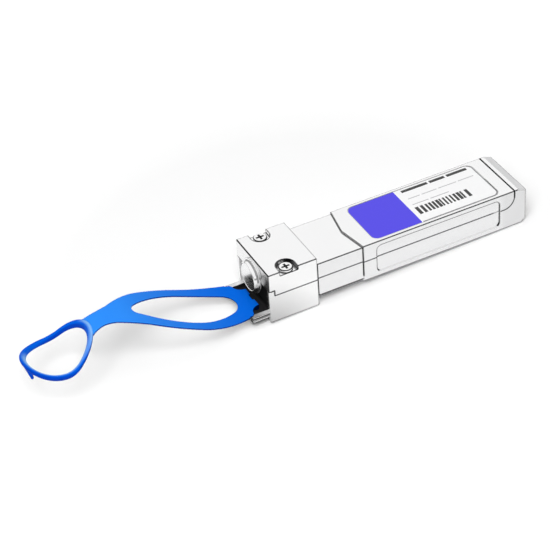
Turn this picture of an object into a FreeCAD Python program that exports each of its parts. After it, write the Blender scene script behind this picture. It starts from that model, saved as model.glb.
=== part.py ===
"""Loopback module for a small pluggable cage, with a pull-tab latch.

Millimetres. X runs along the module, +X into the cage, Y across it and Z up.
The origin is on the middle line, at the plane of the seating shoulder (the rear
face of the nose) and at the level of the module's lower face.
"""
import FreeCAD, Part
import math
import os
import re
import Sketcher

# Driving dimensions in millimetres, or degrees where the name says turn
SIZES = {
    # Nose block, outside the cage
    "nose_length": 10.65,
    "nose_width": 13.7,
    "nose_top": 9.9,
    "nose_drop": 1.6,
    "nose_wall": 0.75,
    "nose_roof": 1.0,
    "nose_floor": 0.6,
    "nose_rear_wall": 1.2,
    "nose_keel_round": 0.3,
    # Body inside the cage
    "mid_end": 10.15,
    "mid_inset": 0.225,
    "mid_step": 0.35,
    "mid_bottom": 0.42,
    "body_width": 13.4,
    "body_height": 8.5,
    "body_end": 47.5,
    "edge_round": 0.2,
    "chevron_depth": 1.15,
    "side_wall": 0.8,
    "lid_roof": 1.1,
    "bay_floor": 1.2,
    "bay_start": 0.8,
    # Seam between the two shells
    "seam": 4.7,
    "seam_step_length": 1.25,
    "seam_step_rise": 1.25,
    "seam_gap": 0.05,
    # Rear end
    "hood_length": 2.75,
    "lid_corner_margin": 0.25,
    "hood_slope_length": 1.7,
    "hood_drop": 0.65,
    "hood_roof": 0.9,
    "rear_chamfer": 1.1,
    "bottom_opening_length": 10.4,
    # Recesses in the outer faces
    "side_pocket_start": 13.15,
    "side_pocket_rear_margin": 6.15,
    "side_pocket_low": 1.0,
    "side_pocket_headroom": 1.1,
    "side_pocket_corner": 1.1,
    "side_pocket_depth": 0.25,
    "label_start": 13.2,
    "label_rear_margin": 5.7,
    "label_margin": 0.9,
    "label_corner": 1.3,
    "label_recess": 0.12,
    "label_border": 0.12,
    "label_thickness": 0.09,
    # Cover screws and their posts
    "screw_x": 6.1,
    "screw_inset": 1.45,
    "notch_radius": 1.95,
    "notch_depth": 0.9,
    "screw_head_radius": 1.4,
    "screw_head_height": 0.62,
    "screw_head_chamfer": 0.15,
    "screw_radius": 0.9,
    "screw_length": 7.2,
    "screw_clearance": 0.15,
    "thread_clearance": 0.02,
    "driver_slot_width": 0.42,
    "driver_slot_length": 1.5,
    "driver_slot_depth": 0.4,
    "post_wall": 0.2,
    # Turned collar that closes the cable outlet
    "collar_drop": 4.2,
    "collar_flange_radius": 3.65,
    "collar_flange_thickness": 0.3,
    "collar_radius": 3.15,
    "collar_reach": 1.2,
    "collar_chamfer": 0.3,
    "collar_rim": 0.35,
    "collar_dish_radius": 2.0,
    "collar_dish_depth": 0.4,
    "collar_tail_lip": 0.55,
    "collar_tail_clearance": 0.2,
    "collar_tail_length": 0.95,
    "collar_clearance": 0.05,
    "cradle_setback": 1.45,
    "cradle_thickness": 1.0,
    "cradle_width": 8.0,
    # Latch boss and slider
    "latch_shoulder": 2.5,
    "latch_length": 2.6,
    "latch_width": 2.6,
    "latch_height": 0.45,
    "latch_flat": 1.4,
    "slider_sheet": 0.35,
    "slider_top": 0.3,
    "slider_clearance": 0.1,
    "arm_reach": 3.45,
    "arm_clearance": 0.15,
    "arm_depth": 1.05,
    "arm_height": 1.15,
    "plate_length": 1.5,
    "tongue_width": 6.4,
    "tongue_end": 0.5,
    "tine_gap": 0.2,
    "tine_end": 6.3,
    "wedge_length": 1.1,
    "wedge_ramp": 0.9,
    "bar_reach": 3.15,
    "bar_length": 1.6,
    "bar_drop": 0.4,
    # Return springs
    "spring_y": 2.6,
    "spring_diameter": 1.15,
    "spring_wire": 0.24,
    "spring_turns": 4,
    # Pull tab
    "tab_gap": 0.5,
    "tab_top": 0.55,
    "tab_thickness": 0.3,
    "tab_flat": 1.65,
    "tab_rise_radius": 28.7,
    "tab_rise_turn": 24.0,
    "tab_rise_straight": 9.9,
    "tab_crest_radius": 19.9,
    "tab_fall_radius": 6.5,
    "tab_fall_turn": 38.5,
    "tab_fall_straight": 4.8,
    "tab_trough_radius": 5.3,
    "tab_lift_radius": 12.3,
    "tab_lift_turn": 45.0,
    "tab_side_radius": 35.3,
    "tab_widest_reach": 12.45,
    "tab_overhang": 0.15,
    "tab_neck_reach": 31.85,
    "tab_neck": 2.35,
    "tab_notch": 0.85,
    "tab_notch_depth": 0.4,
    "tab_tongue": 2.95,
    "scallop_radius": 1.97,
    "tab_shoulder": 5.5,
    "tab_shoulder_reach": 3.3,
    "anchor_thickness": 1.2,
    "window_reach": 13.45,
    "window_half_width": 4.66,
    "window_side_radius": 19.1,
    "window_rear_radius": 3.2,
    "window_front_radius": 1.6,
    "ring_reach": 40.79,
    "ring_half_length": 6.65,
    "ring_half_width": 5.95,
    "ring_section": 1.1,
    "lip_reach": 2.2,
    "lip_drop": 1.0,
    "lip_tip": 0.6,
    # Circuit board and what it carries
    "board_bottom": 2.25,
    "board_thickness": 1.0,
    "board_start": 1.0,
    "board_setback": 3.2,
    "board_clearance": 0.175,
    "board_tongue_length": 6.8,
    "board_tongue_width": 9.2,
    "board_bevel": 0.2,
    "ledge_width": 0.75,
    "clamp_start": 4.0,
    "clamp_setback": 13.5,
    "clamp_width": 0.6,
    "finger_pitch": 0.8,
    "finger_width": 0.54,
    "finger_length": 3.2,
    "finger_setback": 0.45,
    "finger_thickness": 0.05,
    "resistor_setback": 26.3,
    "resistor_pitch": 4.4,
    "resistor_length": 3.2,
    "resistor_width": 6.3,
    "resistor_height": 0.6,
    "thermal_pad_thickness": 1.0,
    "thermal_pad_margin": 0.4,
    "chip_setback": 11.8,
    "chip_size": 3.0,
    "chip_height": 0.85,
    "chip_mark_radius": 0.2,
    "regulator_x": 9.0,
    "regulator_length": 2.9,
    "regulator_width": 1.3,
    "regulator_height": 1.0,
    "regulator_lead_reach": 0.55,
    "regulator_lead_width": 0.4,
    "regulator_lead_height": 0.15,
    "regulator_lead_pitch": 0.95,
    "capacitor_setback": 8.3,
    "capacitor_length": 1.0,
    "capacitor_width": 0.5,
    "capacitor_pitch": 1.6,
    "bypass_pitch": 2.7,
    "bypass_length": 0.8,
    "bypass_width": 1.25,
    "pull_up_y": 2.6,
    "pull_up_height": 0.35,
}

# Sizes that follow from the driving ones, as formulas in the sheet
DERIVED = {
    "mid_width": "=body_width - 2 * mid_inset",
    "mid_top": "=body_height - mid_step",
    "seam_step": "=seam + seam_step_rise",
    "lid_end": "=body_end - hood_length",
    "hood_slope_start": "=body_end - hood_slope_length",
    "bottom_opening_start": "=body_end - bottom_opening_length",
    "side_pocket_end": "=body_end - side_pocket_rear_margin",
    "side_pocket_high": "=body_height - side_pocket_headroom",
    "label_end": "=body_end - label_rear_margin",
    "label_width": "=body_width - 2 * label_margin",
    "nose_inner": "=nose_width / 2 - nose_wall",
    "nose_ceiling": "=nose_top - nose_roof",
    "nose_bay_floor": "=nose_floor - nose_drop",
    "bay_half": "=mid_width / 2 - side_wall",
    "ledge_half": "=bay_half - ledge_width",
    "lid_ceiling": "=body_height - lid_roof",
    "lid_corner": "=lid_ceiling - seam - lid_corner_margin",
    "hood_ceiling": "=body_height - hood_roof",
    "notch_level": "=nose_top - notch_depth",
    "screw_y": "=nose_width / 2 - screw_inset",
    "post_inner": "=screw_y - notch_radius - post_wall",
    "collar_axis": "=nose_top - collar_drop",
    "collar_tail_radius": "=post_inner - collar_tail_clearance",
    "collar_neck_radius": "=collar_tail_radius - collar_tail_lip",
    "cradle_front": "=nose_length - cradle_setback",
    "cradle_rear": "=cradle_front - cradle_thickness",
    "arm_front": "=nose_length + arm_reach",
    "arm_outer": "=nose_inner - arm_clearance",
    "arm_inner": "=arm_outer - arm_depth",
    "arm_bottom": "=slider_top - arm_height",
    "arm_roof": "=slider_top + slider_clearance",
    "bar_front": "=nose_length + bar_reach",
    "plate_rear": "=nose_rear_wall + slider_clearance / 2",
    "plate_front": "=plate_rear + plate_length",
    "tine_inner": "=latch_width / 2 + tine_gap",
    "tab_rear": "=nose_length + tab_gap",
    "tab_shoulder_x": "=tab_rear + tab_shoulder_reach",
    "tab_widest_x": "=tab_rear + tab_widest_reach",
    "tab_widest": "=nose_width / 2 + tab_overhang",
    "tab_neck_x": "=tab_rear + tab_neck_reach",
    "window_x": "=tab_rear + window_reach",
    "ring_x": "=tab_rear + ring_reach",
    "board_width": "=2 * (bay_half - board_clearance)",
    "board_end": "=body_end - board_setback",
    "board_tongue_start": "=board_end - board_tongue_length",
    "board_top": "=board_bottom + board_thickness",
    "clamp_end": "=body_end - clamp_setback",
    "resistor_first_x": "=board_end - resistor_setback",
    "chip_x": "=board_end - chip_setback",
    "capacitor_x": "=board_end - capacitor_setback",
    "part_top": "=board_top + resistor_height",
    "pedestal_level": "=part_top + thermal_pad_thickness",
    "pad_start": "=resistor_first_x - resistor_length / 2 - thermal_pad_margin",
    "pad_end": "=resistor_first_x + 2 * resistor_pitch + resistor_length / 2 + thermal_pad_margin",
    "pad_half_width": "=resistor_width / 2 + thermal_pad_margin",
}

RESISTORS = 3
FINGERS_A_SIDE = 10
RING_POINTS = 8
RING_SIDES = 10
WIRE_SIDES = 4
LARGE = "40"

doc = FreeCAD.newDocument("loopback_module")
dims = doc.addObject("Spreadsheet::Sheet", "dims")
for row, (alias, value) in enumerate([*SIZES.items(), *DERIVED.items()], 1):
    dims.set("A%d" % row, alias)
    dims.set("B%d" % row, str(value))
    dims.setAlias("B%d" % row, alias)
doc.recompute()


# Helpers for sizes and expressions

def bind(text):
    """Turn a formula in plain size names into an expression on the sheet."""
    return re.sub(r"\b[a-z][a-z_]+\b", lambda word: "dims." + word.group(0), text)


def size(name):
    """A size as a number, read from the sheet."""
    return float(getattr(dims, name))


def point(x, y, z):
    return FreeCAD.Vector(x, y, z)


# Helpers for bodies, sketches and features

def new_body(label):
    body = doc.addObject("PartDesign::Body", label)
    body.Label = label
    return body


def plane_of(body, role):
    return next(item for item in body.Origin.OriginFeatures if item.Role == role)


def new_sketch(body, role, level="0", rise="0"):
    """A sketch on an origin plane, lifted along its normal and along its own Y."""
    sketch = body.newObject("Sketcher::SketchObject", "sketch")
    sketch.AttachmentSupport = [(plane_of(body, role), "")]
    sketch.MapMode = "FlatFace"
    sketch.setExpression("AttachmentOffset.Base.z", bind(level))
    sketch.setExpression("AttachmentOffset.Base.y", bind(rise))
    return sketch


def tie(sketch, kind, first, *rest):
    """Add one dimension to a sketch and bind it to the last argument."""
    *place, start, formula = rest
    index = sketch.addConstraint(Sketcher.Constraint(kind, first, *place, start))
    sketch.setExpression("Constraints[%d]" % index, bind(formula))


def outline(sketch, corners):
    """A closed outline of straight lines, each corner bound to two formulas."""
    count = len(corners)
    turn = 2 * math.pi / count
    start = [point(math.cos(i * turn), math.sin(i * turn), 0) for i in range(count)]
    for i in range(count):
        sketch.addGeometry(Part.LineSegment(start[i], start[(i + 1) % count]), False)
    for i in range(count):
        sketch.addConstraint(Sketcher.Constraint("Coincident", i, 2, (i + 1) % count, 1))
    for i, (across, up) in enumerate(corners):
        tie(sketch, "DistanceX", -1, 1, i, 1, start[i].x, across)
        tie(sketch, "DistanceY", -1, 1, i, 1, start[i].y, up)
    return sketch


def rectangle(sketch, left, right, low, high):
    return outline(sketch, [(left, low), (right, low), (right, high), (left, high)])


def circle(sketch, across, up, radius):
    index = sketch.addGeometry(Part.Circle(point(1, 1, 0), point(0, 0, 1), 1.0), False)
    tie(sketch, "Radius", index, 1.0, radius)
    tie(sketch, "DistanceX", -1, 1, index, 3, 1.0, across)
    tie(sketch, "DistanceY", -1, 1, index, 3, 1.0, up)
    return sketch


def pad(body, sketch, length, way="One side", back=False):
    feature = body.newObject("PartDesign::Pad", "pad")
    feature.Profile = sketch
    feature.SideType = way
    feature.Reversed = back
    feature.setExpression("Length", bind(length))
    doc.recompute()
    return feature


def pocket(body, sketch, length, along_normal=False):
    """Cut along the sketch's normal, or against it; the cut has to remove something."""
    before = body.Shape.Volume
    feature = body.newObject("PartDesign::Pocket", "pocket")
    feature.Profile = sketch
    feature.Reversed = along_normal
    feature.setExpression("Length", bind(length))
    doc.recompute()
    if feature.Shape.Volume > before - 1e-6:
        raise RuntimeError("a pocket of %s removes nothing" % body.Label)
    return feature


def mirror(body, features, role="XZ_Plane"):
    feature = body.newObject("PartDesign::Mirrored", "mirrored")
    feature.Originals = features
    feature.MirrorPlane = (plane_of(body, role), [""])
    body.Tip = feature
    doc.recompute()
    return feature


def dress(body, kind, amount, wanted):
    """Fillet or chamfer the edges of a body whose ends satisfy a test."""
    names = []
    for number, edge in enumerate(body.Shape.Edges, 1):
        ends = [vertex.Point for vertex in edge.Vertexes]
        if len(ends) == 2 and wanted(*ends):
            names.append("Edge%d" % number)
    if not names:
        raise RuntimeError("no edge to dress on %s" % body.Label)
    base = body.Tip
    feature = body.newObject(kind, "dressed")
    feature.Base = (base, names)
    prop = "Radius" if kind == "PartDesign::Fillet" else "Size"
    feature.setExpression(prop, bind(amount))
    body.Tip = feature
    doc.recompute()
    return feature


def near(a, b):
    return abs(a - b) < 1e-4


def box(name, corner, lengths):
    """A block with its lowest corner and lengths bound to formulas."""
    block = doc.addObject("Part::Box", name)
    for axis, formula in zip("xyz", corner):
        block.setExpression("Placement.Base." + axis, bind(formula))
    for side, formula in zip(("Length", "Width", "Height"), lengths):
        block.setExpression(side, bind(formula))
    return block


def group(label, members):
    """Separate solids that share one node."""
    compound = doc.addObject("Part::Compound", label)
    compound.Links = members
    compound.Label = label
    return compound


# Upper shell: nose roof, front face, lid and the pieces that reach down inside

def upper_shell():
    body = new_body("top_shell")
    nose = outline(new_sketch(body, "XZ_Plane"), [
        ("-nose_length", "seam_step"), ("-nose_length", "nose_top"), ("0", "nose_top"), ("0", "seam"),
        ("seam_step_length - nose_length", "seam"), ("seam_step_length - nose_length", "seam_step")])
    pad(body, nose, "nose_width", "Symmetric")
    middle = rectangle(new_sketch(body, "XZ_Plane"), "-nose_rear_wall", "mid_end", "seam", "mid_top")
    pad(body, middle, "mid_width", "Symmetric")
    dress(body, "PartDesign::Fillet", "edge_round", along_x("mid_width", "mid_top"))
    lid = rectangle(new_sketch(body, "XZ_Plane"), "mid_end", "lid_end", "seam", "body_height")
    pad(body, lid, "body_width", "Symmetric")
    dress(body, "PartDesign::Fillet", "edge_round", upper_outer_edges)
    chevron = outline(new_sketch(body, "XY_Plane", "mid_top - edge_round"), [
        ("mid_end", "-mid_width / 2"), ("mid_end", "mid_width / 2"), ("mid_end - chevron_depth", "0")])
    pad(body, chevron, "body_height - mid_top + edge_round")

    nose_room = rectangle(new_sketch(body, "XY_Plane", "seam"), "seam_step_length - nose_length",
                          "-nose_rear_wall", "-nose_inner", "nose_inner")
    pocket(body, nose_room, "nose_ceiling - seam", True)
    bay = rectangle(new_sketch(body, "XY_Plane", "seam"), "bay_start", "lid_end + 1", "-bay_half", "bay_half")
    pocket(body, bay, "lid_ceiling - seam", True)

    post = rectangle(new_sketch(body, "XY_Plane", "seam"), "-screw_x - notch_radius",
                     "notch_radius - screw_x", "post_inner", "nose_inner + nose_wall / 2")
    posts = pad(body, post, "nose_ceiling - seam + nose_roof / 2")
    mirror(body, [posts])
    pedestal = rectangle(new_sketch(body, "XY_Plane", "pedestal_level"), "pad_start", "pad_end",
                         "-pad_half_width", "pad_half_width")
    pad(body, pedestal, "lid_ceiling - pedestal_level + lid_roof / 2")
    clamp = outline(new_sketch(body, "YZ_Plane", "clamp_start"), [
        ("board_width / 2 - clamp_width", "board_top"), ("board_width / 2", "board_top"),
        ("board_width / 2", "seam"), ("bay_half + side_wall / 2", "seam"),
        ("bay_half + side_wall / 2", "lid_ceiling + lid_roof / 4"),
        ("board_width / 2 - clamp_width", "lid_ceiling + lid_roof / 4")])
    clamps = pad(body, clamp, "clamp_end - clamp_start")
    mirror(body, [clamps])

    arch = circle(new_sketch(body, "YZ_Plane", "-nose_length"), "0", "collar_axis",
                  "collar_neck_radius + collar_clearance")
    pocket(body, arch, "seam_step_length", True)
    seat = circle(new_sketch(body, "XY_Plane", "nose_top"), "-screw_x", "screw_y", "notch_radius")
    seat_cut = pocket(body, seat, "notch_depth")
    mouth = rectangle(new_sketch(body, "XY_Plane", "nose_top"), "-screw_x - notch_radius",
                      "notch_radius - screw_x", "screw_y", "nose_width / 2 + 1")
    mouth_cut = pocket(body, mouth, "notch_depth")
    hole = circle(new_sketch(body, "XY_Plane", "notch_level"), "-screw_x", "screw_y",
                  "screw_radius + screw_clearance")
    hole_cut = pocket(body, hole, "notch_level - seam + 0.01")
    mirror(body, [seat_cut, mouth_cut, hole_cut])

    recess = rectangle(new_sketch(body, "XY_Plane", "body_height"), "label_start - label_border",
                       "label_end + label_border", "-label_width / 2 - label_border",
                       "label_width / 2 + label_border")
    pocket(body, recess, "label_recess")
    label_floor = size("body_height") - size("label_recess")
    dress(body, "PartDesign::Fillet", "label_corner + label_border",
          lambda a, b: near(a.x, b.x) and near(a.y, b.y) and near(min(a.z, b.z), label_floor)
          and near(max(a.z, b.z), size("body_height")) and abs(a.y) < size("label_width") / 2 + 1
          and a.x > size("mid_end") + 1 and a.x < size("lid_end") - 0.5)

    panel = rectangle(new_sketch(body, "XZ_Plane", "body_width / 2"), "side_pocket_start", "side_pocket_end",
                      "seam - 1", "side_pocket_high")
    panel_cut = pocket(body, panel, "side_pocket_depth")
    mirror(body, [panel_cut])
    dress(body, "PartDesign::Fillet", "side_pocket_corner",
          lambda a, b: near(a.x, b.x) and near(a.z, b.z) and near(a.z, size("side_pocket_high"))
          and near(abs(a.y - b.y), size("side_pocket_depth")))
    dress(body, "PartDesign::Fillet", "lid_corner",
          lambda a, b: near(a.x, b.x) and near(a.z, b.z) and near(a.z, size("seam"))
          and near(a.x, size("lid_end")))
    return body


def along_x(width, level):
    """A test for the two long edges of a block of that width, at that level."""
    return lambda a, b: (near(a.y, b.y) and near(abs(a.y), size(width) / 2)
                         and near(a.z, size(level)) and near(b.z, size(level)))


def upper_outer_edges(a, b):
    """The nose's top edges, its front and rear upright edges, and the lid's long edges."""
    nose_end = near(a.x, b.x) and (near(a.x, -size("nose_length")) or near(a.x, 0))
    across = near(a.z, b.z) and near(a.z, size("nose_top"))
    on_side = near(a.y, b.y) and near(abs(a.y), size("nose_width") / 2)
    upright = on_side and near(max(a.z, b.z), size("nose_top"))
    long_edge = along_x("nose_width", "nose_top")(a, b) or along_x("body_width", "body_height")(a, b)
    return long_edge or (nose_end and (across or upright))


# Lower shell: slider trough, board bay, hood, latch boss and collar cradle

def lower_shell():
    body = new_body("bottom_shell")
    nose = outline(new_sketch(body, "XZ_Plane"), [
        ("-nose_length", "-nose_drop"), ("0", "-nose_drop"), ("0", "seam"),
        ("seam_step_length - nose_length - seam_gap", "seam"),
        ("seam_step_length - nose_length - seam_gap", "seam_step - seam_gap"),
        ("-nose_length", "seam_step - seam_gap")])
    pad(body, nose, "nose_width", "Symmetric")
    dress(body, "PartDesign::Fillet", "nose_keel_round", lower_keel_edges)
    dress(body, "PartDesign::Fillet", "edge_round", lower_nose_edges)
    middle = rectangle(new_sketch(body, "XZ_Plane"), "-nose_rear_wall", "mid_end", "mid_bottom", "seam")
    pad(body, middle, "mid_width", "Symmetric")
    rear = outline(new_sketch(body, "XZ_Plane"), [
        ("mid_end", "0"), ("body_end - rear_chamfer", "0"), ("body_end", "rear_chamfer"),
        ("body_end", "body_height - hood_drop"), ("hood_slope_start", "body_height"),
        ("lid_end + seam_gap", "body_height"), ("lid_end + seam_gap", "seam"), ("mid_end", "seam")])
    pad(body, rear, "body_width", "Symmetric")
    dress(body, "PartDesign::Fillet", "lid_corner + seam_gap",
          lambda a, b: near(a.x, b.x) and near(a.z, b.z) and near(a.z, size("seam"))
          and near(a.x, size("lid_end") + size("seam_gap")))
    dress(body, "PartDesign::Fillet", "edge_round", lower_rear_edges)

    trough = rectangle(new_sketch(body, "XY_Plane", "nose_bay_floor"), "-nose_length - 1", "-nose_rear_wall",
                       "-nose_inner", "nose_inner")
    pocket(body, trough, LARGE, True)
    bay = rectangle(new_sketch(body, "XY_Plane", "board_bottom"), "bay_start", "body_end + 1",
                    "-bay_half", "bay_half")
    pocket(body, bay, "hood_ceiling - board_bottom", True)
    under = rectangle(new_sketch(body, "XY_Plane", "bay_floor"), "bay_start + ledge_width", "body_end + 1",
                      "-ledge_half", "ledge_half")
    pocket(body, under, "board_bottom - bay_floor", True)
    opening = rectangle(new_sketch(body, "XY_Plane"), "bottom_opening_start", "body_end + 1",
                        "-ledge_half", "ledge_half")
    pocket(body, opening, "bay_floor", True)

    post = rectangle(new_sketch(body, "XY_Plane", "arm_roof"), "-screw_x - notch_radius",
                     "notch_radius - screw_x", "post_inner", "nose_inner + nose_wall / 2")
    posts = pad(body, post, "seam - arm_roof")
    mirror(body, [posts])
    pilot = circle(new_sketch(body, "XY_Plane", "seam"), "-screw_x", "screw_y",
                   "screw_radius + thread_clearance")
    pilots = pocket(body, pilot, "screw_length - (notch_level - seam) + 2 * thread_clearance")
    mirror(body, [pilots])
    cradle = rectangle(new_sketch(body, "YZ_Plane", "-cradle_front"), "-cradle_width / 2", "cradle_width / 2",
                       "nose_bay_floor - nose_floor / 2", "collar_axis")
    pad(body, cradle, "cradle_thickness")
    saddle = circle(new_sketch(body, "YZ_Plane", "-cradle_front"), "0", "collar_axis",
                    "collar_neck_radius + collar_clearance")
    pocket(body, saddle, "cradle_thickness", True)

    gate = rectangle(new_sketch(body, "YZ_Plane", "-nose_rear_wall"), "-tongue_width / 2 - slider_clearance",
                     "tongue_width / 2 + slider_clearance", "slider_top - slider_sheet - slider_clearance",
                     "mid_bottom")
    pocket(body, gate, "nose_rear_wall", True)
    boss = outline(new_sketch(body, "XZ_Plane"), [
        ("latch_shoulder", "mid_bottom + 0.1"), ("latch_shoulder", "-latch_height"),
        ("latch_shoulder + latch_flat", "-latch_height"), ("latch_shoulder + latch_length", "mid_bottom"),
        ("latch_shoulder + latch_length", "mid_bottom + 0.1")])
    pad(body, boss, "latch_width", "Symmetric")

    panel = rectangle(new_sketch(body, "XZ_Plane", "body_width / 2"), "side_pocket_start", "side_pocket_end",
                      "side_pocket_low", "seam + 0.01")
    panel_cut = pocket(body, panel, "side_pocket_depth")
    mirror(body, [panel_cut])
    dress(body, "PartDesign::Fillet", "side_pocket_corner",
          lambda a, b: near(a.x, b.x) and near(a.z, b.z) and near(a.z, size("side_pocket_low"))
          and near(abs(a.y - b.y), size("side_pocket_depth")))
    return body


def lower_keel_edges(a, b):
    """The two long lower edges of the nose."""
    return (near(a.y, b.y) and near(abs(a.y), size("nose_width") / 2)
            and near(a.z, -size("nose_drop")) and near(b.z, -size("nose_drop")))


def lower_nose_edges(a, b):
    """The nose's front and rear upright edges; the rounding carries on under the keel."""
    nose_end = near(a.x, b.x) and (near(a.x, -size("nose_length")) or near(a.x, 0))
    return nose_end and near(a.y, b.y) and near(abs(a.y), size("nose_width") / 2)


def lower_rear_edges(a, b):
    """The edges round the side faces of the rear end and along the underside."""
    side = near(a.y, b.y) and near(abs(a.y), size("body_width") / 2)
    return side and max(a.x, b.x) > size("hood_slope_start") - 0.01


# Turned collar clamped between the shells, with a dished front

def turned_collar():
    body = new_body("nose_collar")
    profile = outline(new_sketch(body, "XZ_Plane", "0", "collar_axis"), [
        ("collar_dish_depth - nose_length - collar_reach", "0"),
        ("collar_dish_depth - nose_length - collar_reach", "collar_dish_radius"),
        ("-nose_length - collar_reach", "collar_radius - collar_chamfer - collar_rim"),
        ("-nose_length - collar_reach", "collar_radius - collar_chamfer"),
        ("collar_chamfer - nose_length - collar_reach", "collar_radius"),
        ("-nose_length - collar_flange_thickness", "collar_radius"),
        ("-nose_length - collar_flange_thickness", "collar_flange_radius"),
        ("-nose_length", "collar_flange_radius"),
        ("-nose_length", "collar_neck_radius"),
        ("collar_clearance - cradle_rear", "collar_neck_radius"),
        ("collar_clearance - cradle_rear", "collar_tail_radius"),
        ("collar_clearance + collar_tail_length - cradle_rear", "collar_tail_radius"),
        ("collar_clearance + collar_tail_length - cradle_rear", "0")])
    turned = body.newObject("PartDesign::Revolution", "turned")
    turned.Profile = profile
    turned.ReferenceAxis = (profile, ["H_Axis"])
    turned.Angle = 360
    doc.recompute()
    return body


# Two cross-recess screws that hold the shells together

def cover_screws():
    body = new_body("cover_screw")
    profile = outline(new_sketch(body, "XZ_Plane"), [
        ("0", "notch_level - screw_length"), ("screw_radius", "notch_level - screw_length"),
        ("screw_radius", "notch_level"), ("screw_head_radius", "notch_level"),
        ("screw_head_radius", "notch_level + screw_head_height - screw_head_chamfer"),
        ("screw_head_radius - screw_head_chamfer", "notch_level + screw_head_height"),
        ("0", "notch_level + screw_head_height")])
    turned = body.newObject("PartDesign::Revolution", "turned")
    turned.Profile = profile
    turned.ReferenceAxis = (profile, ["V_Axis"])
    turned.Angle = 360
    doc.recompute()
    arm = "driver_slot_length / 2"
    slot = "driver_slot_width / 2"
    cross = outline(new_sketch(body, "XY_Plane", "notch_level + screw_head_height"), [
        (arm, "-" + slot), (arm, slot), (slot, slot), (slot, arm), ("-" + slot, arm), ("-" + slot, slot),
        ("-" + arm, slot), ("-" + arm, "-" + slot), ("-" + slot, "-" + slot), ("-" + slot, "-" + arm),
        (slot, "-" + arm), (slot, "-" + slot)])
    pocket(body, cross, "driver_slot_depth")
    body.setExpression("Placement.Base.x", bind("-screw_x"))
    body.setExpression("Placement.Base.y", bind("screw_y"))
    other = doc.addObject("Part::Mirroring", "other_screw")
    other.Source = body
    other.Normal = point(0, 1, 0)
    doc.recompute()
    return group("cover_screws", [body, other])


# Stamped slider: folded arms, spring plate, tongue and two wedge tines

def latch_slider():
    body = new_body("slider")
    plate = rectangle(new_sketch(body, "XY_Plane", "slider_top - slider_sheet"), "-plate_front",
                      "-plate_rear", "-arm_inner - slider_sheet / 2", "arm_inner + slider_sheet / 2")
    pad(body, plate, "slider_sheet")
    lug = rectangle(new_sketch(body, "YZ_Plane", "-plate_front"), "-arm_inner - slider_sheet / 2",
                    "arm_inner + slider_sheet / 2", "arm_bottom", "slider_top")
    pad(body, lug, "slider_sheet")
    channel = outline(new_sketch(body, "YZ_Plane", "-arm_front"), [
        ("arm_inner", "slider_top"), ("arm_outer", "slider_top"), ("arm_outer", "slider_top - slider_sheet"),
        ("arm_inner + slider_sheet", "slider_top - slider_sheet"),
        ("arm_inner + slider_sheet", "arm_bottom + slider_sheet"), ("arm_outer", "arm_bottom + slider_sheet"),
        ("arm_outer", "arm_bottom"), ("arm_inner", "arm_bottom")])
    arms = pad(body, channel, "arm_front - plate_rear")
    mirror(body, [arms])
    bar = rectangle(new_sketch(body, "XY_Plane", "slider_top - bar_drop - slider_sheet"), "-bar_front",
                    "bar_length - bar_front", "-arm_inner - slider_sheet / 2", "arm_inner + slider_sheet / 2")
    pad(body, bar, "slider_sheet")
    tongue = rectangle(new_sketch(body, "XY_Plane", "slider_top - slider_sheet"), "-plate_rear", "tongue_end",
                       "-tongue_width / 2", "tongue_width / 2")
    pad(body, tongue, "slider_sheet")
    tine = outline(new_sketch(body, "XZ_Plane", "-tine_inner"), [
        ("tongue_end - slider_sheet", "slider_top"),
        ("tongue_end - slider_sheet", "slider_top - slider_sheet"),
        ("tine_end - wedge_length - wedge_ramp", "slider_top - slider_sheet"),
        ("tine_end - wedge_length", "-latch_height"), ("tine_end - wedge_length / 2", "-latch_height"),
        ("tine_end", "slider_top - slider_sheet"), ("tine_end", "slider_top")])
    tines = pad(body, tine, "tongue_width / 2 - tine_inner", "One side", True)
    mirror(body, [tines])
    return body


# Return springs: half turns of square wire, each in its own tilted plane

def many_sided(centre, other_way, radius, sides):
    """A regular face about a centre, in the plane of X and another direction."""
    corners = []
    for k in range(sides + 1):
        turn = 2 * math.pi * (k + 0.5) / sides
        corners.append(centre + point(radius * math.cos(turn), 0, 0) + other_way * (radius * math.sin(turn)))
    return Part.Face(Part.makePolygon(corners))


def return_spring(label, side):
    wire = size("spring_wire") / 2
    radius = size("spring_diameter") / 2 - wire
    seat = -size("cradle_rear")
    plate = -size("plate_front")
    half_turns = 2 * int(size("spring_turns"))
    first = seat + wire
    rise = (plate - seat - 2 * wire) / half_turns
    middle = (size("nose_bay_floor") + size("slider_top")) / 2
    base = point(0, side * size("spring_y"), middle)
    arcs = []
    for k in range(half_turns):
        way = 1 if k % 2 else -1
        start = base + point(first + k * rise, way * radius, 0)
        end = base + point(first + (k + 1) * rise, -way * radius, 0)
        bow = (end - start).Length / 2
        arcs.append(Part.Arc(start, (start + end) * 0.5 - point(0, 0, way * bow), end).toShape())
    section = many_sided(arcs[0].Vertexes[0].Point, point(0, 1, 0), wire, WIRE_SIDES)
    spring = doc.addObject("Part::Feature", label)
    spring.Label = label
    spring.Shape = Part.Wire(arcs).makePipe(section)
    return spring


# Pull tab: a wavy strap with a window, moulded round the slider's bar, and a finger ring

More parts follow.
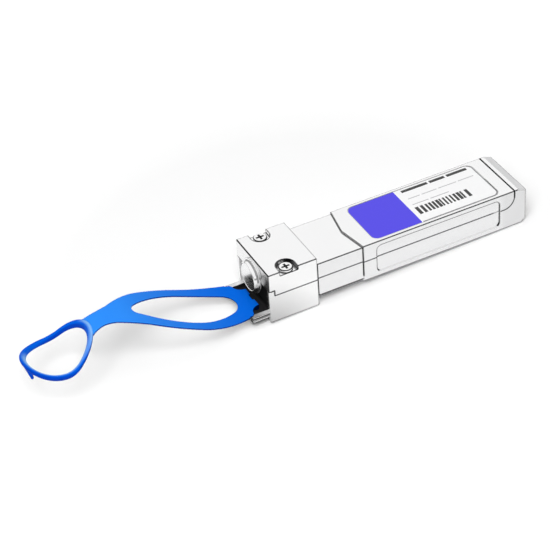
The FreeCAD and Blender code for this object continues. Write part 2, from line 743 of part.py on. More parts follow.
def tab_course(offset):
    """Side view of the tab at an offset from its middle surface: pieces and end points."""
    rise = math.radians(size("tab_rise_turn"))
    fall = math.radians(size("tab_fall_turn"))
    steps = [("line", size("tab_flat"), 0.0),
             ("arc", size("tab_rise_radius"), rise),
             ("line", size("tab_rise_straight"), 0.0),
             ("arc", size("tab_crest_radius"), -rise),
             ("arc", size("tab_fall_radius"), -fall),
             ("line", size("tab_fall_straight"), 0.0),
             ("arc", size("tab_trough_radius"), fall),
             ("arc", size("tab_lift_radius"), math.radians(size("tab_lift_turn")))]
    heading = 0.0
    x = -size("tab_rear")
    z = size("tab_top") - size("tab_thickness") / 2 + offset
    course = []
    for kind, amount, turn in steps:
        if kind == "line":
            end_x = x - amount * math.cos(heading)
            end_z = z + amount * math.sin(heading)
            course.append((kind, (x, z), (end_x, end_z), None, None))
        else:
            way = 1 if turn > 0 else -1
            radius = amount - way * offset
            centre = (x + way * radius * math.sin(heading), z + way * radius * math.cos(heading))
            heading_mid = heading + turn / 2
            heading += turn
            end_x = centre[0] - way * radius * math.sin(heading)
            end_z = centre[1] - way * radius * math.cos(heading)
            bow = (centre[0] - way * radius * math.sin(heading_mid),
                   centre[1] - way * radius * math.cos(heading_mid))
            course.append((kind, (x, z), (end_x, end_z), bow, (centre, radius, way)))
        x, z = end_x, end_z
    return course


def course_edges(course):
    edges = []
    for kind, start, end, bow, turn in course:
        a = point(start[0], 0, start[1])
        b = point(end[0], 0, end[1])
        if kind == "line":
            edges.append(Part.LineSegment(a, b).toShape())
        else:
            edges.append(Part.Arc(a, point(bow[0], 0, bow[1]), b).toShape())
    return edges


def course_height(course, x):
    """Height of the tab's middle surface at a place along it."""
    for kind, start, end, bow, turn in course:
        if end[0] <= x <= start[0] + 1e-9:
            if kind == "line":
                return start[1] + (end[1] - start[1]) * (start[0] - x) / (start[0] - end[0])
            (centre_x, centre_z), radius, way = turn
            return centre_z - way * math.sqrt(radius ** 2 - (x - centre_x) ** 2)
    raise RuntimeError("the tab's side view ends before the ring does")


def chain(points):
    """Straight edges from each point to the next."""
    return [Part.LineSegment(a, b).toShape() for a, b in zip(points, points[1:])]


def arc_between(centre, start, end, radius):
    """The shorter arc about a centre, as an edge in the plane z = 0."""
    middle = (start + end) * 0.5 - centre
    return Part.Arc(start, centre + middle.normalize() * radius, end).toShape()


def mirrored_loop(edges):
    """Close a chain that starts and ends on y = 0 with its mirror image."""
    other = [edge.mirror(point(0, 0, 0), point(0, 1, 0)) for edge in edges]
    return Part.Wire(Part.__sortEdges__(edges + other))


def strap_outline():
    """Plan of the strap, from its toothed rear edge to the finger ring."""
    rear = -size("tab_rear")
    side = size("tab_side_radius")
    widest = point(-size("tab_widest_x"), size("tab_widest"), 0)
    side_centre = widest - point(0, side, 0)
    neck_x = -size("tab_neck_x")
    along = widest.x - neck_x
    below = size("tab_neck") - side_centre.y
    neck_radius = (along ** 2 + below ** 2 - side ** 2) / (2 * (side - below))
    neck_centre = point(neck_x, size("tab_neck") + neck_radius, 0)
    join = side_centre + (neck_centre - side_centre).normalize() * side
    notch = size("tab_notch")
    inner = rear - size("tab_notch_depth")
    tongue = point(rear, size("tab_tongue"), 0)
    scallop = size("scallop_radius")
    scallop_centre = tongue + point(-scallop * 0.05, scallop, 0)
    scallop_end = scallop_centre - point(scallop, 0, 0)
    scallop_start = scallop_centre - point(0, scallop, 0)
    shoulder = point(-size("tab_shoulder_x"), size("tab_shoulder"), 0)
    corner = point(scallop_end.x - scallop * 0.25, size("tab_shoulder"), 0)
    side_start = point(shoulder.x, side_centre.y + math.sqrt(side ** 2 - (shoulder.x - widest.x) ** 2), 0)
    end_x = -size("ring_x") + size("ring_half_length") - size("ring_section") / 4
    end_y = neck_centre.y - math.sqrt(neck_radius ** 2 - (end_x - neck_x) ** 2)
    end = point(end_x, end_y, 0)
    edges = chain([point(inner, 0, 0), point(inner, notch, 0), point(rear, notch, 0), tongue, scallop_start])
    edges.append(arc_between(scallop_centre, scallop_start, scallop_end, scallop))
    edges += chain([scallop_end, corner, shoulder, side_start])
    edges.append(arc_between(side_centre, side_start, join, side))
    edges.append(arc_between(neck_centre, join, end, neck_radius))
    edges += chain([end, point(end_x, 0, 0)])
    return mirrored_loop(edges)


def window_outline():
    """Plan of the strap's window: two long side arcs with a round end each."""
    side = size("window_side_radius")
    side_centre = point(-size("window_x"), size("window_half_width") - side, 0)
    ends = []
    for way, radius in ((1, size("window_rear_radius")), (-1, size("window_front_radius"))):
        reach = math.sqrt((side - radius) ** 2 - side_centre.y ** 2)
        centre = point(side_centre.x + way * reach, 0, 0)
        tip = centre + point(way * radius, 0, 0)
        touch = side_centre + (centre - side_centre).normalize() * side
        ends.append((centre, tip, touch, radius))
    (rear_centre, rear_tip, rear_touch, rear), (front_centre, front_tip, front_touch, front) = ends
    edges = [arc_between(rear_centre, rear_tip, rear_touch, rear),
             arc_between(side_centre, rear_touch, front_touch, side),
             arc_between(front_centre, front_touch, front_tip, front)]
    return mirrored_loop(edges)


def finger_ring(course):
    """Nearly round ring, oval in plan, that follows the tab's side view, and its lifting lip."""
    path = []
    for k in range(2 * RING_POINTS):
        turn = math.pi * k / RING_POINTS
        x = -size("ring_x") + size("ring_half_length") * math.cos(turn)
        y = size("ring_half_width") * math.sin(turn)
        path.append(point(x, y, course_height(course, x)))
    loop = Part.BSplineCurve()
    loop.interpolate(Points=path, PeriodicFlag=True)
    far_end = path[RING_POINTS]
    half_loop = loop.toShape(loop.FirstParameter, loop.parameter(far_end))
    section = many_sided(path[0], point(0, 0, 1), size("ring_section") / 2, RING_SIDES)
    half = Part.Wire(half_loop).makePipe(section)
    ring = half.fuse(half.mirror(point(0, 0, 0), point(0, 1, 0)))
    root = (far_end + path[RING_POINTS + 1]) * 0.5
    way = point(0, -size("lip_reach"), -size("lip_drop"))
    lip = Part.makeCone(size("ring_section") / 2, size("lip_tip") / 2, way.Length, root, way)
    tip = Part.makeSphere(size("lip_tip") / 2, root + way)
    return ring.fuse(lip.fuse(tip))


def pull_tab(slider):
    thickness = size("tab_thickness")
    upper = tab_course(thickness / 2)
    lower = tab_course(-thickness / 2)
    top_edges = course_edges(upper)
    bottom_edges = course_edges(lower)
    rear_end = chain([top_edges[0].Vertexes[0].Point, bottom_edges[0].Vertexes[0].Point])
    far_end = chain([top_edges[-1].Vertexes[-1].Point, bottom_edges[-1].Vertexes[-1].Point])
    profile = Part.Wire(Part.__sortEdges__(top_edges + bottom_edges + rear_end + far_end))
    across = 2 * size("tab_widest") + 2
    sheet = Part.Face(profile).extrude(point(0, across, 0))
    sheet.translate(point(0, -across / 2, 0))
    tall = 4 * size("tab_rise_radius")
    plan = Part.Face(strap_outline()).extrude(point(0, 0, tall))
    plan.translate(point(0, 0, -tall / 2))
    window = Part.Face(window_outline()).extrude(point(0, 0, tall))
    window.translate(point(0, 0, -tall / 2))
    strap = sheet.common(plan).cut(window)
    anchor_length = size("bar_front") + size("slider_sheet") - size("tab_rear")
    anchor_half = size("arm_inner")
    anchor_corner = point(-size("tab_rear") - anchor_length, -anchor_half,
                          size("tab_top") - size("anchor_thickness"))
    anchor = Part.makeBox(anchor_length, 2 * anchor_half, size("anchor_thickness"), anchor_corner)
    tab = doc.addObject("Part::Feature", "pull_tab")
    tab.Label = "pull_tab"
    moulding = strap.fuse(anchor.common(plan)).fuse(finger_ring(tab_course(0)))
    tab.Shape = moulding.cut(slider.Shape)
    return tab


# Circuit board, its plated fingers and its parts

def circuit_board():
    body = new_body("circuit_board")
    half = "board_width / 2"
    tongue = "board_tongue_width / 2"
    plan = outline(new_sketch(body, "XY_Plane", "board_bottom"), [
        ("board_start", "-" + half), ("board_tongue_start", "-" + half), ("board_tongue_start", "-" + tongue),
        ("board_end", "-" + tongue), ("board_end", tongue), ("board_tongue_start", tongue),
        ("board_tongue_start", half), ("board_start", half)])
    pad(body, plan, "board_thickness")
    dress(body, "PartDesign::Chamfer", "board_bevel",
          lambda a, b: near(a.x, size("board_end")) and near(b.x, size("board_end")) and near(a.z, b.z))
    return body


def small_blocks(label, places, lengths):
    """Equal blocks soldered or plated on the board, as one node."""
    return group(label, [box(label + "_piece", place, lengths) for place in places])


def contact_row(label, level):
    places = [k - (FINGERS_A_SIDE - 1) / 2 for k in range(FINGERS_A_SIDE)]
    corners = [("board_end - finger_setback - finger_length",
                "%.1f * finger_pitch - finger_width / 2" % place, level) for place in places]
    return small_blocks(label, corners, ("finger_length", "finger_width", "finger_thickness"))


def load_resistors():
    corners = [("resistor_first_x + %d * resistor_pitch - resistor_length / 2" % k, "-resistor_width / 2",
                "board_top") for k in range(RESISTORS)]
    return small_blocks("load_resistors", corners, ("resistor_length", "resistor_width", "resistor_height"))


def coupling_capacitors():
    corners = [("capacitor_x - capacitor_length / 2", "%.1f * capacitor_pitch - capacitor_width / 2" % place,
                "board_top") for place in (-1.5, -0.5, 0.5, 1.5)]
    lengths = ("capacitor_length", "capacitor_width", "capacitor_width")
    return small_blocks("coupling_capacitors", corners, lengths)


def decoupling_capacitors():
    corners = [("regulator_x + %d * bypass_pitch - bypass_length / 2" % way, "-bypass_width / 2", "board_top")
               for way in (-1, 1)]
    return small_blocks("decoupling_capacitors", corners, ("bypass_length", "bypass_width", "bypass_width"))


def pull_up_resistors():
    corners = [("chip_x - capacitor_length / 2", "%d * pull_up_y - capacitor_width / 2" % way, "board_top")
               for way in (-1, 1)]
    lengths = ("capacitor_length", "capacitor_width", "pull_up_height")
    return small_blocks("pull_up_resistors", corners, lengths)


def thermal_pad():
    sheet = box("thermal_pad", ("pad_start", "-pad_half_width", "part_top"),
                ("pad_end - pad_start", "2 * pad_half_width", "thermal_pad_thickness"))
    return sheet


def controller_chip():
    body = new_body("controller_chip")
    plan = rectangle(new_sketch(body, "XY_Plane", "board_top"), "chip_x - chip_size / 2",
                     "chip_x + chip_size / 2", "-chip_size / 2", "chip_size / 2")
    pad(body, plan, "chip_height")
    mark = circle(new_sketch(body, "XY_Plane", "board_top + chip_height"), "chip_x - chip_size / 3",
                  "chip_size / 3", "chip_mark_radius")
    pocket(body, mark, "chip_mark_radius / 4")
    return body


def voltage_regulator():
    body = new_body("voltage_regulator")
    plan = rectangle(new_sketch(body, "XY_Plane", "board_top"), "regulator_x - regulator_length / 2",
                     "regulator_x + regulator_length / 2", "-regulator_width / 2", "regulator_width / 2")
    pad(body, plan, "regulator_height")
    for place, way in ((-1, 1), (1, 1), (0, -1)):
        middle = "regulator_x + %d * regulator_lead_pitch" % place
        tip = "%d * (regulator_width / 2 + regulator_lead_reach)" % way
        root = "%d * regulator_width / 4" % way
        lead = rectangle(new_sketch(body, "XY_Plane", "board_top"), middle + " - regulator_lead_width / 2",
                         middle + " + regulator_lead_width / 2", root, tip)
        pad(body, lead, "regulator_lead_height")
    return body


# Label in the lid's recess

def lid_label():
    body = new_body("label")
    plan = rectangle(new_sketch(body, "XY_Plane", "body_height - label_recess"), "label_start", "label_end",
                     "-label_width / 2", "label_width / 2")
    pad(body, plan, "label_thickness")
    dress(body, "PartDesign::Fillet", "label_corner", lambda a, b: near(a.x, b.x) and near(a.y, b.y))
    return body


slider_body = latch_slider()
nodes = [upper_shell(), lower_shell(), turned_collar(), cover_screws(), slider_body,
         return_spring("return_spring_left", 1), return_spring("return_spring_right", -1),
         pull_tab(slider_body), circuit_board(), contact_row("upper_contacts", "board_top"),
         contact_row("lower_contacts", "board_bottom - finger_thickness"), load_resistors(), thermal_pad(),
         controller_chip(), pull_up_resistors(), voltage_regulator(), decoupling_capacitors(),
         coupling_capacitors(), lid_label()]
doc.recompute()

for item in doc.Objects:
    if "Invalid" in item.State or "Error" in item.State:
        raise RuntimeError("%s did not build: %s" % (item.Label, item.State))
for node in nodes:
    if node.Shape.isNull() or not node.Shape.isValid():
        raise RuntimeError("%s has no valid shape" % node.Label)

os.makedirs("parts", exist_ok=True)
for node in nodes:
    node.Shape.exportStep("parts/%s.step" % node.Label)
    extent = node.Shape.BoundBox
    print("%-20s solids %d volume %.2f  x %.2f..%.2f  y %.2f..%.2f  z %.2f..%.2f" % (
        node.Label, len(node.Shape.Solids), node.Shape.Volume, extent.XMin, extent.XMax,
        extent.YMin, extent.YMax, extent.ZMin, extent.ZMax))
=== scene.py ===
"""Looks of the loopback module: finishes, print, moulded pull tab, studio and camera."""
import math

import bpy
from mathutils import Matrix, Vector


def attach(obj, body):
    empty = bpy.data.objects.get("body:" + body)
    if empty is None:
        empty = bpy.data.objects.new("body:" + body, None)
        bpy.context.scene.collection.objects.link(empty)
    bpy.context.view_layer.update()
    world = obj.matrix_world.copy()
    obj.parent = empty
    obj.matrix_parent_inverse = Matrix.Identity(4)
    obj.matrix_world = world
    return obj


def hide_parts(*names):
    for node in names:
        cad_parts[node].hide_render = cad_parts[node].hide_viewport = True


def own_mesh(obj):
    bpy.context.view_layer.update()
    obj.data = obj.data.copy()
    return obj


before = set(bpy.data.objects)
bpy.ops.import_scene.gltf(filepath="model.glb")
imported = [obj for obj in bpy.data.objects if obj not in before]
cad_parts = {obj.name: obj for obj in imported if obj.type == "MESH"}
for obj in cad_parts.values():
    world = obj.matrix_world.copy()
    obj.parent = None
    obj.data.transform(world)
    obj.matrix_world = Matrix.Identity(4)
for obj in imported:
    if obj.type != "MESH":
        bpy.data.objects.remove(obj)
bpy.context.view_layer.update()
scene = bpy.context.scene
scene.view_settings.view_transform = "Standard"

MM = 0.001
WELD_REACH = 1e-7

# Places that finishes and pieces share, in millimetres: +X into the cage, +Z up, the near side at -Y.
# NOSE_FRONT and SHOULDER lie just behind the faces that they part from the rest.
NOSE_FRONT, SHOULDER = -10.3, 0.02
COLLAR_LEVEL = 5.7
SCREW_X, SCREW_SIDE = -6.1, 5.4
TAB_REAR, TAB_LEVEL, TAB_THICKNESS = -11.15, 0.4, 0.3
RING_X, RING_LENGTH, RING_WIDTH, RING_SECTION = -51.91, 6.6, 5.9, 1.1


# Small helpers for modelling by hand

def clear_selection():
    if bpy.context.object and bpy.context.object.mode != "OBJECT":
        bpy.ops.object.mode_set(mode="OBJECT")
    bpy.ops.object.select_all(action="DESELECT")


def take(piece):
    """Make one piece the only selected and active one."""
    clear_selection()
    bpy.context.view_layer.objects.active = piece
    piece.select_set(True)
    return piece


def open_mesh(piece):
    """Start to edit a piece's mesh, with all of it selected."""
    take(piece)
    bpy.ops.object.mode_set(mode="EDIT")
    bpy.ops.mesh.select_all(action="SELECT")


def open_part(piece, kind, test):
    """Start to edit a piece's mesh, with only the vertices or faces selected that pass a test."""
    take(piece)
    bpy.ops.object.mode_set(mode="EDIT")
    bpy.ops.mesh.select_mode(type=kind)
    bpy.ops.mesh.select_all(action="DESELECT")
    bpy.ops.object.mode_set(mode="OBJECT")
    elements = piece.data.polygons if kind == "FACE" else piece.data.vertices
    for element in elements:
        element.select = test(element)
    bpy.ops.object.mode_set(mode="EDIT")


def close_mesh():
    bpy.ops.object.mode_set(mode="OBJECT")


def apply_modifier(piece, kind, **settings):
    take(piece)
    modifier = piece.modifiers.new(kind.lower(), kind)
    for name, value in settings.items():
        setattr(modifier, name, value)
    bpy.ops.object.modifier_apply(modifier=modifier.name)


def cut(piece, tool, operation):
    apply_modifier(piece, "BOOLEAN", operation=operation, object=tool, solver="EXACT")


def settle(piece):
    """Put a piece's place into its mesh."""
    take(piece)
    bpy.ops.object.transform_apply(location=True, rotation=True, scale=True)
    return piece


def weld(piece):
    """Merge doubled points and turn every face outwards."""
    open_mesh(piece)
    bpy.ops.mesh.remove_doubles(threshold=WELD_REACH)
    bpy.ops.mesh.normals_make_consistent(inside=False)
    close_mesh()
    return piece


def join(first, others):
    """Make one piece of several, under the first one's name."""
    take(first)
    for piece in others:
        piece.select_set(True)
    bpy.ops.object.join()


def block(name, middle, size):
    """A box, its middle and size in millimetres."""
    clear_selection()
    bpy.ops.mesh.primitive_cube_add(size=1, location=[value * MM for value in middle])
    box = bpy.context.object
    box.name = name
    box.scale = [value * MM for value in size]
    return settle(box)


def dress(piece, material):
    piece.data.materials.clear()
    piece.data.materials.append(material)


# Node finishes

OPEN = None
WHITE = (1, 1, 1, 1)
NOISE_SPAN = (0.3, 0.7)
MIX_FIRST, MIX_SECOND, MIX_COLOUR = 6, 7, 2  # colour sockets of a Mix node, whose names aren't unique
CASE_EDGE = (0.36 * MM, 0.95, 0.998)  # radius, and the normals' agreement on an edge and on a face
FINE_EDGE = (0.12 * MM, 0.93, 0.99)


def grey(level, blue=0.0):
    """A grey, a little colder by some blue."""
    return (level, level, level + blue)


class Graph:
    """Adds nodes to a tree; an input is a number, a colour or another node's socket."""

    def __init__(self, tree):
        self.tree = tree

    def feed(self, socket, value):
        if isinstance(value, bpy.types.NodeSocket):
            self.tree.links.new(value, socket)
        else:
            socket.default_value = value

    def node(self, kind, *inputs, **settings):
        """A new node with its settings, and its first inputs fed in order."""
        made = self.tree.nodes.new(kind)
        for name, value in settings.items():
            setattr(made, name, value)
        for socket, value in zip(made.inputs, inputs):
            self.feed(socket, value)
        return made

    def shader(self, kind, *inputs):
        return self.node(kind, *inputs).outputs[0]

    def math(self, operation, *values):
        return self.node("ShaderNodeMath", *values, operation=operation).outputs[0]

    def measure(self, operation, *vectors):
        """One number from vectors, such as a distance."""
        return self.node("ShaderNodeVectorMath", *vectors, operation=operation).outputs["Value"]

    def chain(self, operation, values):
        total, *rest = values
        for value in rest:
            total = self.math(operation, total, value)
        return total

    def spread(self, value, low, high, to_low=0.0, to_high=1.0):
        """How far a value is from low to high, as a number between two others."""
        return self.node("ShaderNodeMapRange", value, low, high, to_low, to_high).outputs[0]

    def level(self, mask, outside, inside):
        """One number outside a mask and another inside it."""
        return self.spread(mask, 0.0, 1.0, outside, inside)

    def either(self, *masks):
        """One where any mask is one."""
        return self.chain("MAXIMUM", masks)


class Finish(Graph):
    """A material with one Principled shader, its patterns and masks on Object coordinates.

    along, across and up are in millimetres, and aside is the distance to either side of the middle.
    """

    def __init__(self, name, **sockets):
        self.material = bpy.data.materials.new(name)
        self.material.use_nodes = True
        super().__init__(self.material.node_tree)
        self.inputs = self.tree.nodes["Principled BSDF"].inputs
        for socket, value in sockets.items():
            self.inputs[socket.replace("_", " ")].default_value = value
        source = self.node("ShaderNodeTexCoord").outputs
        self.place = source["Object"]
        self.facing = self.node("ShaderNodeSeparateXYZ", source["Normal"]).outputs
        parts = self.node("ShaderNodeSeparateXYZ", self.place).outputs
        self.along, self.across, self.up = (self.math("MULTIPLY", part, 1 / MM) for part in parts)
        self.aside = self.math("ABSOLUTE", self.across)

    def to_shader(self, name, value):
        self.feed(self.inputs[name], value)

    # Patterns and colours

    def noise(self, scale, detail=3.0, rough=0.5, stretch=None):
        """Clouds, so many to the metre, times a scale on each axis."""
        where = self.place
        if stretch:
            mapping = self.node("ShaderNodeMapping", where)
            mapping.inputs["Scale"].default_value = stretch
            where = mapping.outputs[0]
        made = self.node("ShaderNodeTexNoise", where)
        for name, value in (("Scale", scale), ("Detail", detail), ("Roughness", rough)):
            made.inputs[name].default_value = value
        return made.outputs["Fac"]

    def blend(self, share, first, second):
        made = self.node("ShaderNodeMix", share, data_type="RGBA")
        for socket, colour in ((MIX_FIRST, first), (MIX_SECOND, second)):
            self.feed(made.inputs[socket], (*colour, 1.0) if isinstance(colour, tuple) else colour)
        return made.outputs[MIX_COLOUR]

    def paint(self, base, *coats):
        """A colour with others laid over it in turn, each a mask and its colour."""
        for mask, colour in coats:
            base = self.blend(mask, base, colour)
        return base

    def roughness(self, pattern, smooth, rough):
        return self.spread(pattern, *NOISE_SPAN, smooth, rough)

    def bump(self, height, depth, strength):
        """Relief that is seen in the light only, its depth in millimetres."""
        made = self.node("ShaderNodeBump", strength, depth * MM)
        self.feed(made.inputs["Height"], height)
        self.to_shader("Normal", made.outputs[0])

    # Measures

    def minus(self, value, other):
        return self.math("SUBTRACT", value, other)

    def size(self, value):
        return self.math("ABSOLUTE", value)

    def off(self, value, middle):
        """Distance of a value from a middle one."""
        return self.size(self.minus(value, middle))

    def length(self, *sides):
        """Length across sides that stand square to each other."""
        squares = [self.math("POWER", side, 2.0) for side in sides]
        return self.math("SQRT", self.chain("ADD", squares))

    # Masks

    def above(self, value, limit):
        return self.math("GREATER_THAN", value, limit)

    def below(self, value, limit):
        return self.math("LESS_THAN", value, limit)

    def inside(self, value, low, high):
        """One between two limits, either of which may be open."""
        masks = [] if low is OPEN else [self.above(value, low)]
        if high is not OPEN:
            masks.append(self.below(value, high))
        return self.both(*masks)

    def region(self, **spans):
        """One inside a box, given by spans along, across, aside or up."""
        return self.both(*(self.inside(getattr(self, axis), *span) for axis, span in spans.items()))

    def both(self, *masks):
        """One where every mask is one."""
        return self.chain("MULTIPLY", masks)

    def without(self, mask, other):
        return self.math("MULTIPLY", mask, self.minus(1.0, other))

    def part_of(self, value, share):
        return self.math("MULTIPLY", value, share)

    def edge(self, radius, sharp, flat):
        """One along sharp edges and joints, nought on open faces."""
        rounded = self.node("ShaderNodeBevel", radius, samples=8).outputs[0]
        surface = self.node("ShaderNodeNewGeometry").outputs["Normal"]
        return self.spread(self.measure("DOT_PRODUCT", rounded, surface), flat, sharp)

    def downward(self, low, high):
        """One on faces that look down."""
        return self.spread(self.math("MULTIPLY", self.facing["Z"], -1.0), low, high)

    def rounding(self, low, high):
        """One on rounded edges, nought where the surface faces along an axis."""
        most = self.either(*(self.size(part) for part in self.facing))
        return self.spread(self.minus(1.0, most), low, high)


# Case

def case_lines_and_painted_shade(made, sides, body_sides):
    """Dark lines along the case's edges, joints and narrow faces: the joints are dark gaps, the lines on edges
    and rounds are painted reflections, and the lines at the body's foot, at the nose's shoulder and on the
    screw notch's wall are painted shade.
    """
    # Rounded edges are drawn dark as painted reflections.
    rounds = made.both(made.rounding(0.01, 0.07), made.region(along=(OPEN, 45.6)))
    lines = made.either(made.edge(*CASE_EDGE), rounds)
    lower_slopes = made.region(along=(1.0, OPEN), up=(OPEN, 1.2))
    wall_front = made.region(along=(OPEN, NOSE_FRONT), aside=(5.95, OPEN), up=(OPEN, 5.85))
    pocket_end = made.both(sides, made.region(along=(40.0, 41.6), up=(OPEN, 7.3)))
    for bare in (lower_slopes, wall_front, made.part_of(pocket_end, 0.5)):
        lines = made.without(lines, bare)

    # Painted shadow: dark lines on the body's sides at the nose's shoulder and along the body's foot.
    painted_shoulder_shadow = made.both(body_sides, made.region(along=(OPEN, 0.3)))
    rear_rise = made.math("MAXIMUM", made.minus(made.along, 46.4), 0.0)
    foot_height = made.level(made.below(made.along, 10.1), 0.22, 0.66)
    painted_foot_shadow = made.both(body_sides, made.below(made.minus(made.up, rear_rise), foot_height))
    rear_line = made.both(sides, made.region(along=(47.3, OPEN), up=(1.0, OPEN)))
    keel_line = made.region(along=(OPEN, 0.0), aside=(6.5, OPEN), up=(OPEN, -1.36))
    thin_lines = made.part_of(made.either(rear_line, keel_line), 0.7)
    # Painted shade on the far wall of the near screw's notch.
    painted_notch_shade = made.region(along=(-4.3, -4.05), across=(OPEN, -3.5), up=(9.05, 9.85))
    front_edge = made.region(along=(OPEN, -10.4), up=(9.75, OPEN))
    lines = made.either(lines, painted_shoulder_shadow, painted_foot_shadow, thin_lines, painted_notch_shade, front_edge)

    # Lines round the label are weakened, most on its front part and far side, so painted shade stays on its
    # near and rear rim.
    label_rim = made.region(along=(12.9, 42.1), aside=(OPEN, 6.05), up=(8.2, OPEN))
    paler_rim = made.either(made.below(made.along, 24.3), made.above(made.across, 0.0))
    lines = made.without(lines, made.both(label_rim, made.level(paler_rim, 0.2, 0.65)))
    hood_joint = made.region(along=(44.6, 44.95), up=(6.8, OPEN))
    return made.either(lines, hood_joint)


def plated_case():
    """Bright plate: pale faces, painted shade and light on the sides, painted shade underneath, beside the
    collar, on the hood and in the hollow nose, and dark lines along edges and joints, partly painted
    reflections.
    """
    made = Finish("plated_case", Specular_IOR_Level=0.1)
    plate = made.blend(made.noise(220), grey(0.895, 0.005), grey(0.925))
    sides = made.spread(made.size(made.facing["Y"]), 0.5, 0.8)
    body_sides = made.both(sides, made.region(along=(SHOULDER, OPEN)))
    nose_sides = made.both(sides, made.region(along=(OPEN, SHOULDER)))
    # Painted shade and light: the body's sides are greyer than the top and darker still near the rear, and the
    # nose's sides are paler.
    painted_side_shade = made.blend(made.spread(made.along, 41.0, 42.6), grey(0.845, 0.005), grey(0.755, 0.005))
    # Painted shade on the faces that look down under the body.
    under = made.both(made.downward(0.2, 0.5), made.region(along=(1.0, OPEN)))

    front = made.both(made.region(along=(OPEN, NOSE_FRONT)), made.below(made.facing["X"], -0.5))
    # Painted reflection: dark grey on the nose's front face beside the collar on the near side, with a paler
    # streak through it as a painted highlight.
    gleam = made.spread(made.off(made.across, -4.3), 0.1, 0.6, 0.55, 0.92)
    painted_reflection_beside_collar = made.both(front, made.spread(made.across, -2.6, -4.0), made.spread(made.up, 9.8, 8.4),
                              made.region(up=(5.9, OPEN)), gleam)
    # Painted shade: the front faces below the mouth are near black.
    painted_shade_under_mouth = made.both(front, made.region(aside=(OPEN, 5.9), up=(OPEN, -0.9)))
    # The hood's slope is matt and painted a darker grey as shade.
    hood_slope = made.both(made.region(along=(45.7, OPEN), up=(6.5, OPEN)),
                           made.inside(made.facing["Z"], 0.3, 0.97))

    # Painted shade: the nose's mouth and the hollow behind it are near black and matt.
    mouth = made.region(along=(-10.55, -8.0), aside=(OPEN, 5.8))
    depth = made.region(along=(-8.0, -1.15), aside=(OPEN, 6.05))
    hollow = made.both(made.either(mouth, depth), made.region(up=(-1.05, 8.95)))
    mouth_wall = made.region(along=(-10.6, -8.0), aside=(5.9, 6.3), up=(-1.05, 5.95))

    made.to_shader("Base Color", made.paint(
        plate,
        (body_sides, painted_side_shade),
        (nose_sides, grey(0.95)),
        (made.part_of(under, 0.8), grey(0.25, 0.01)),
        (painted_reflection_beside_collar, grey(0.2, 0.005)),
        (painted_shade_under_mouth, grey(0.06, 0.002)),
        (hood_slope, grey(0.74, 0.005)),
        (case_lines_and_painted_shade(made, sides, body_sides), grey(0.03, 0.002)),
        (mouth_wall, grey(0.93)),
        (hollow, grey(0.012, 0.001))))
    matt = made.either(hollow, mouth_wall, hood_slope)
    made.to_shader("Metallic", made.level(matt, 0.9, 0.0))
    polish = made.roughness(made.noise(1500), 0.15, 0.2)
    made.to_shader("Roughness", made.either(polish, made.part_of(matt, 0.7)))
    made.bump(made.noise(1100, 2), 0.0006, 0.3)
    return made.material


# Metal of the collar, screws, slider, springs and contacts

def polished_steel(name, dark, haze):
    """Turned and polished steel; dark is a function that gives a mask of painted shade, drawn black and not
    metallic.
    """
    made = Finish(name)
    turned = made.noise(1500, 2, stretch=(3.0, 0.5, 0.5))
    bright = made.blend(turned, grey(0.88, 0.01), grey(0.94))
    shade = dark(made)
    made.to_shader("Base Color", made.blend(shade, bright, grey(0.01)))
    made.to_shader("Metallic", made.minus(1.0, shade))
    polish = made.roughness(turned, haze, 1.5 * haze)
    made.to_shader("Roughness", made.either(polish, made.part_of(shade, 0.6)))
    return made.material


def collar_rims_and_corner_shade(made):
    """Painted shade on the collar: dark lines on its front rim and the outer edge of its flange as painted
    reflections, and a painted shadow in the corner between them.
    """
    away = made.length(made.across, made.minus(made.up, COLLAR_LEVEL))
    front = made.region(along=(OPEN, -11.5))
    flange = made.both(made.region(along=(OPEN, -10.8)), made.above(away, 3.4))
    rims = made.both(made.edge(*FINE_EDGE), made.either(front, flange))
    corner = made.both(made.region(along=(-11.25, -10.93), up=(5.9, OPEN)), made.inside(away, 3.0, 3.3))
    return made.either(rims, made.part_of(corner, 0.7))


def screw_recess_and_foot_shade(made):
    """Painted shade on the screws: black in the cross recess and under the head, and a dark ring on the head's
    upper rim as a painted reflection.
    """
    away = made.length(made.minus(made.along, SCREW_X), made.minus(made.aside, SCREW_SIDE))
    recess = made.both(made.below(away, 1.02), made.region(up=(OPEN, 9.59)))
    foot = made.region(up=(OPEN, 9.2))
    rim = made.both(made.inside(away, 1.22, 1.39), made.region(up=(9.4, OPEN)))
    return made.either(recess, foot, rim)


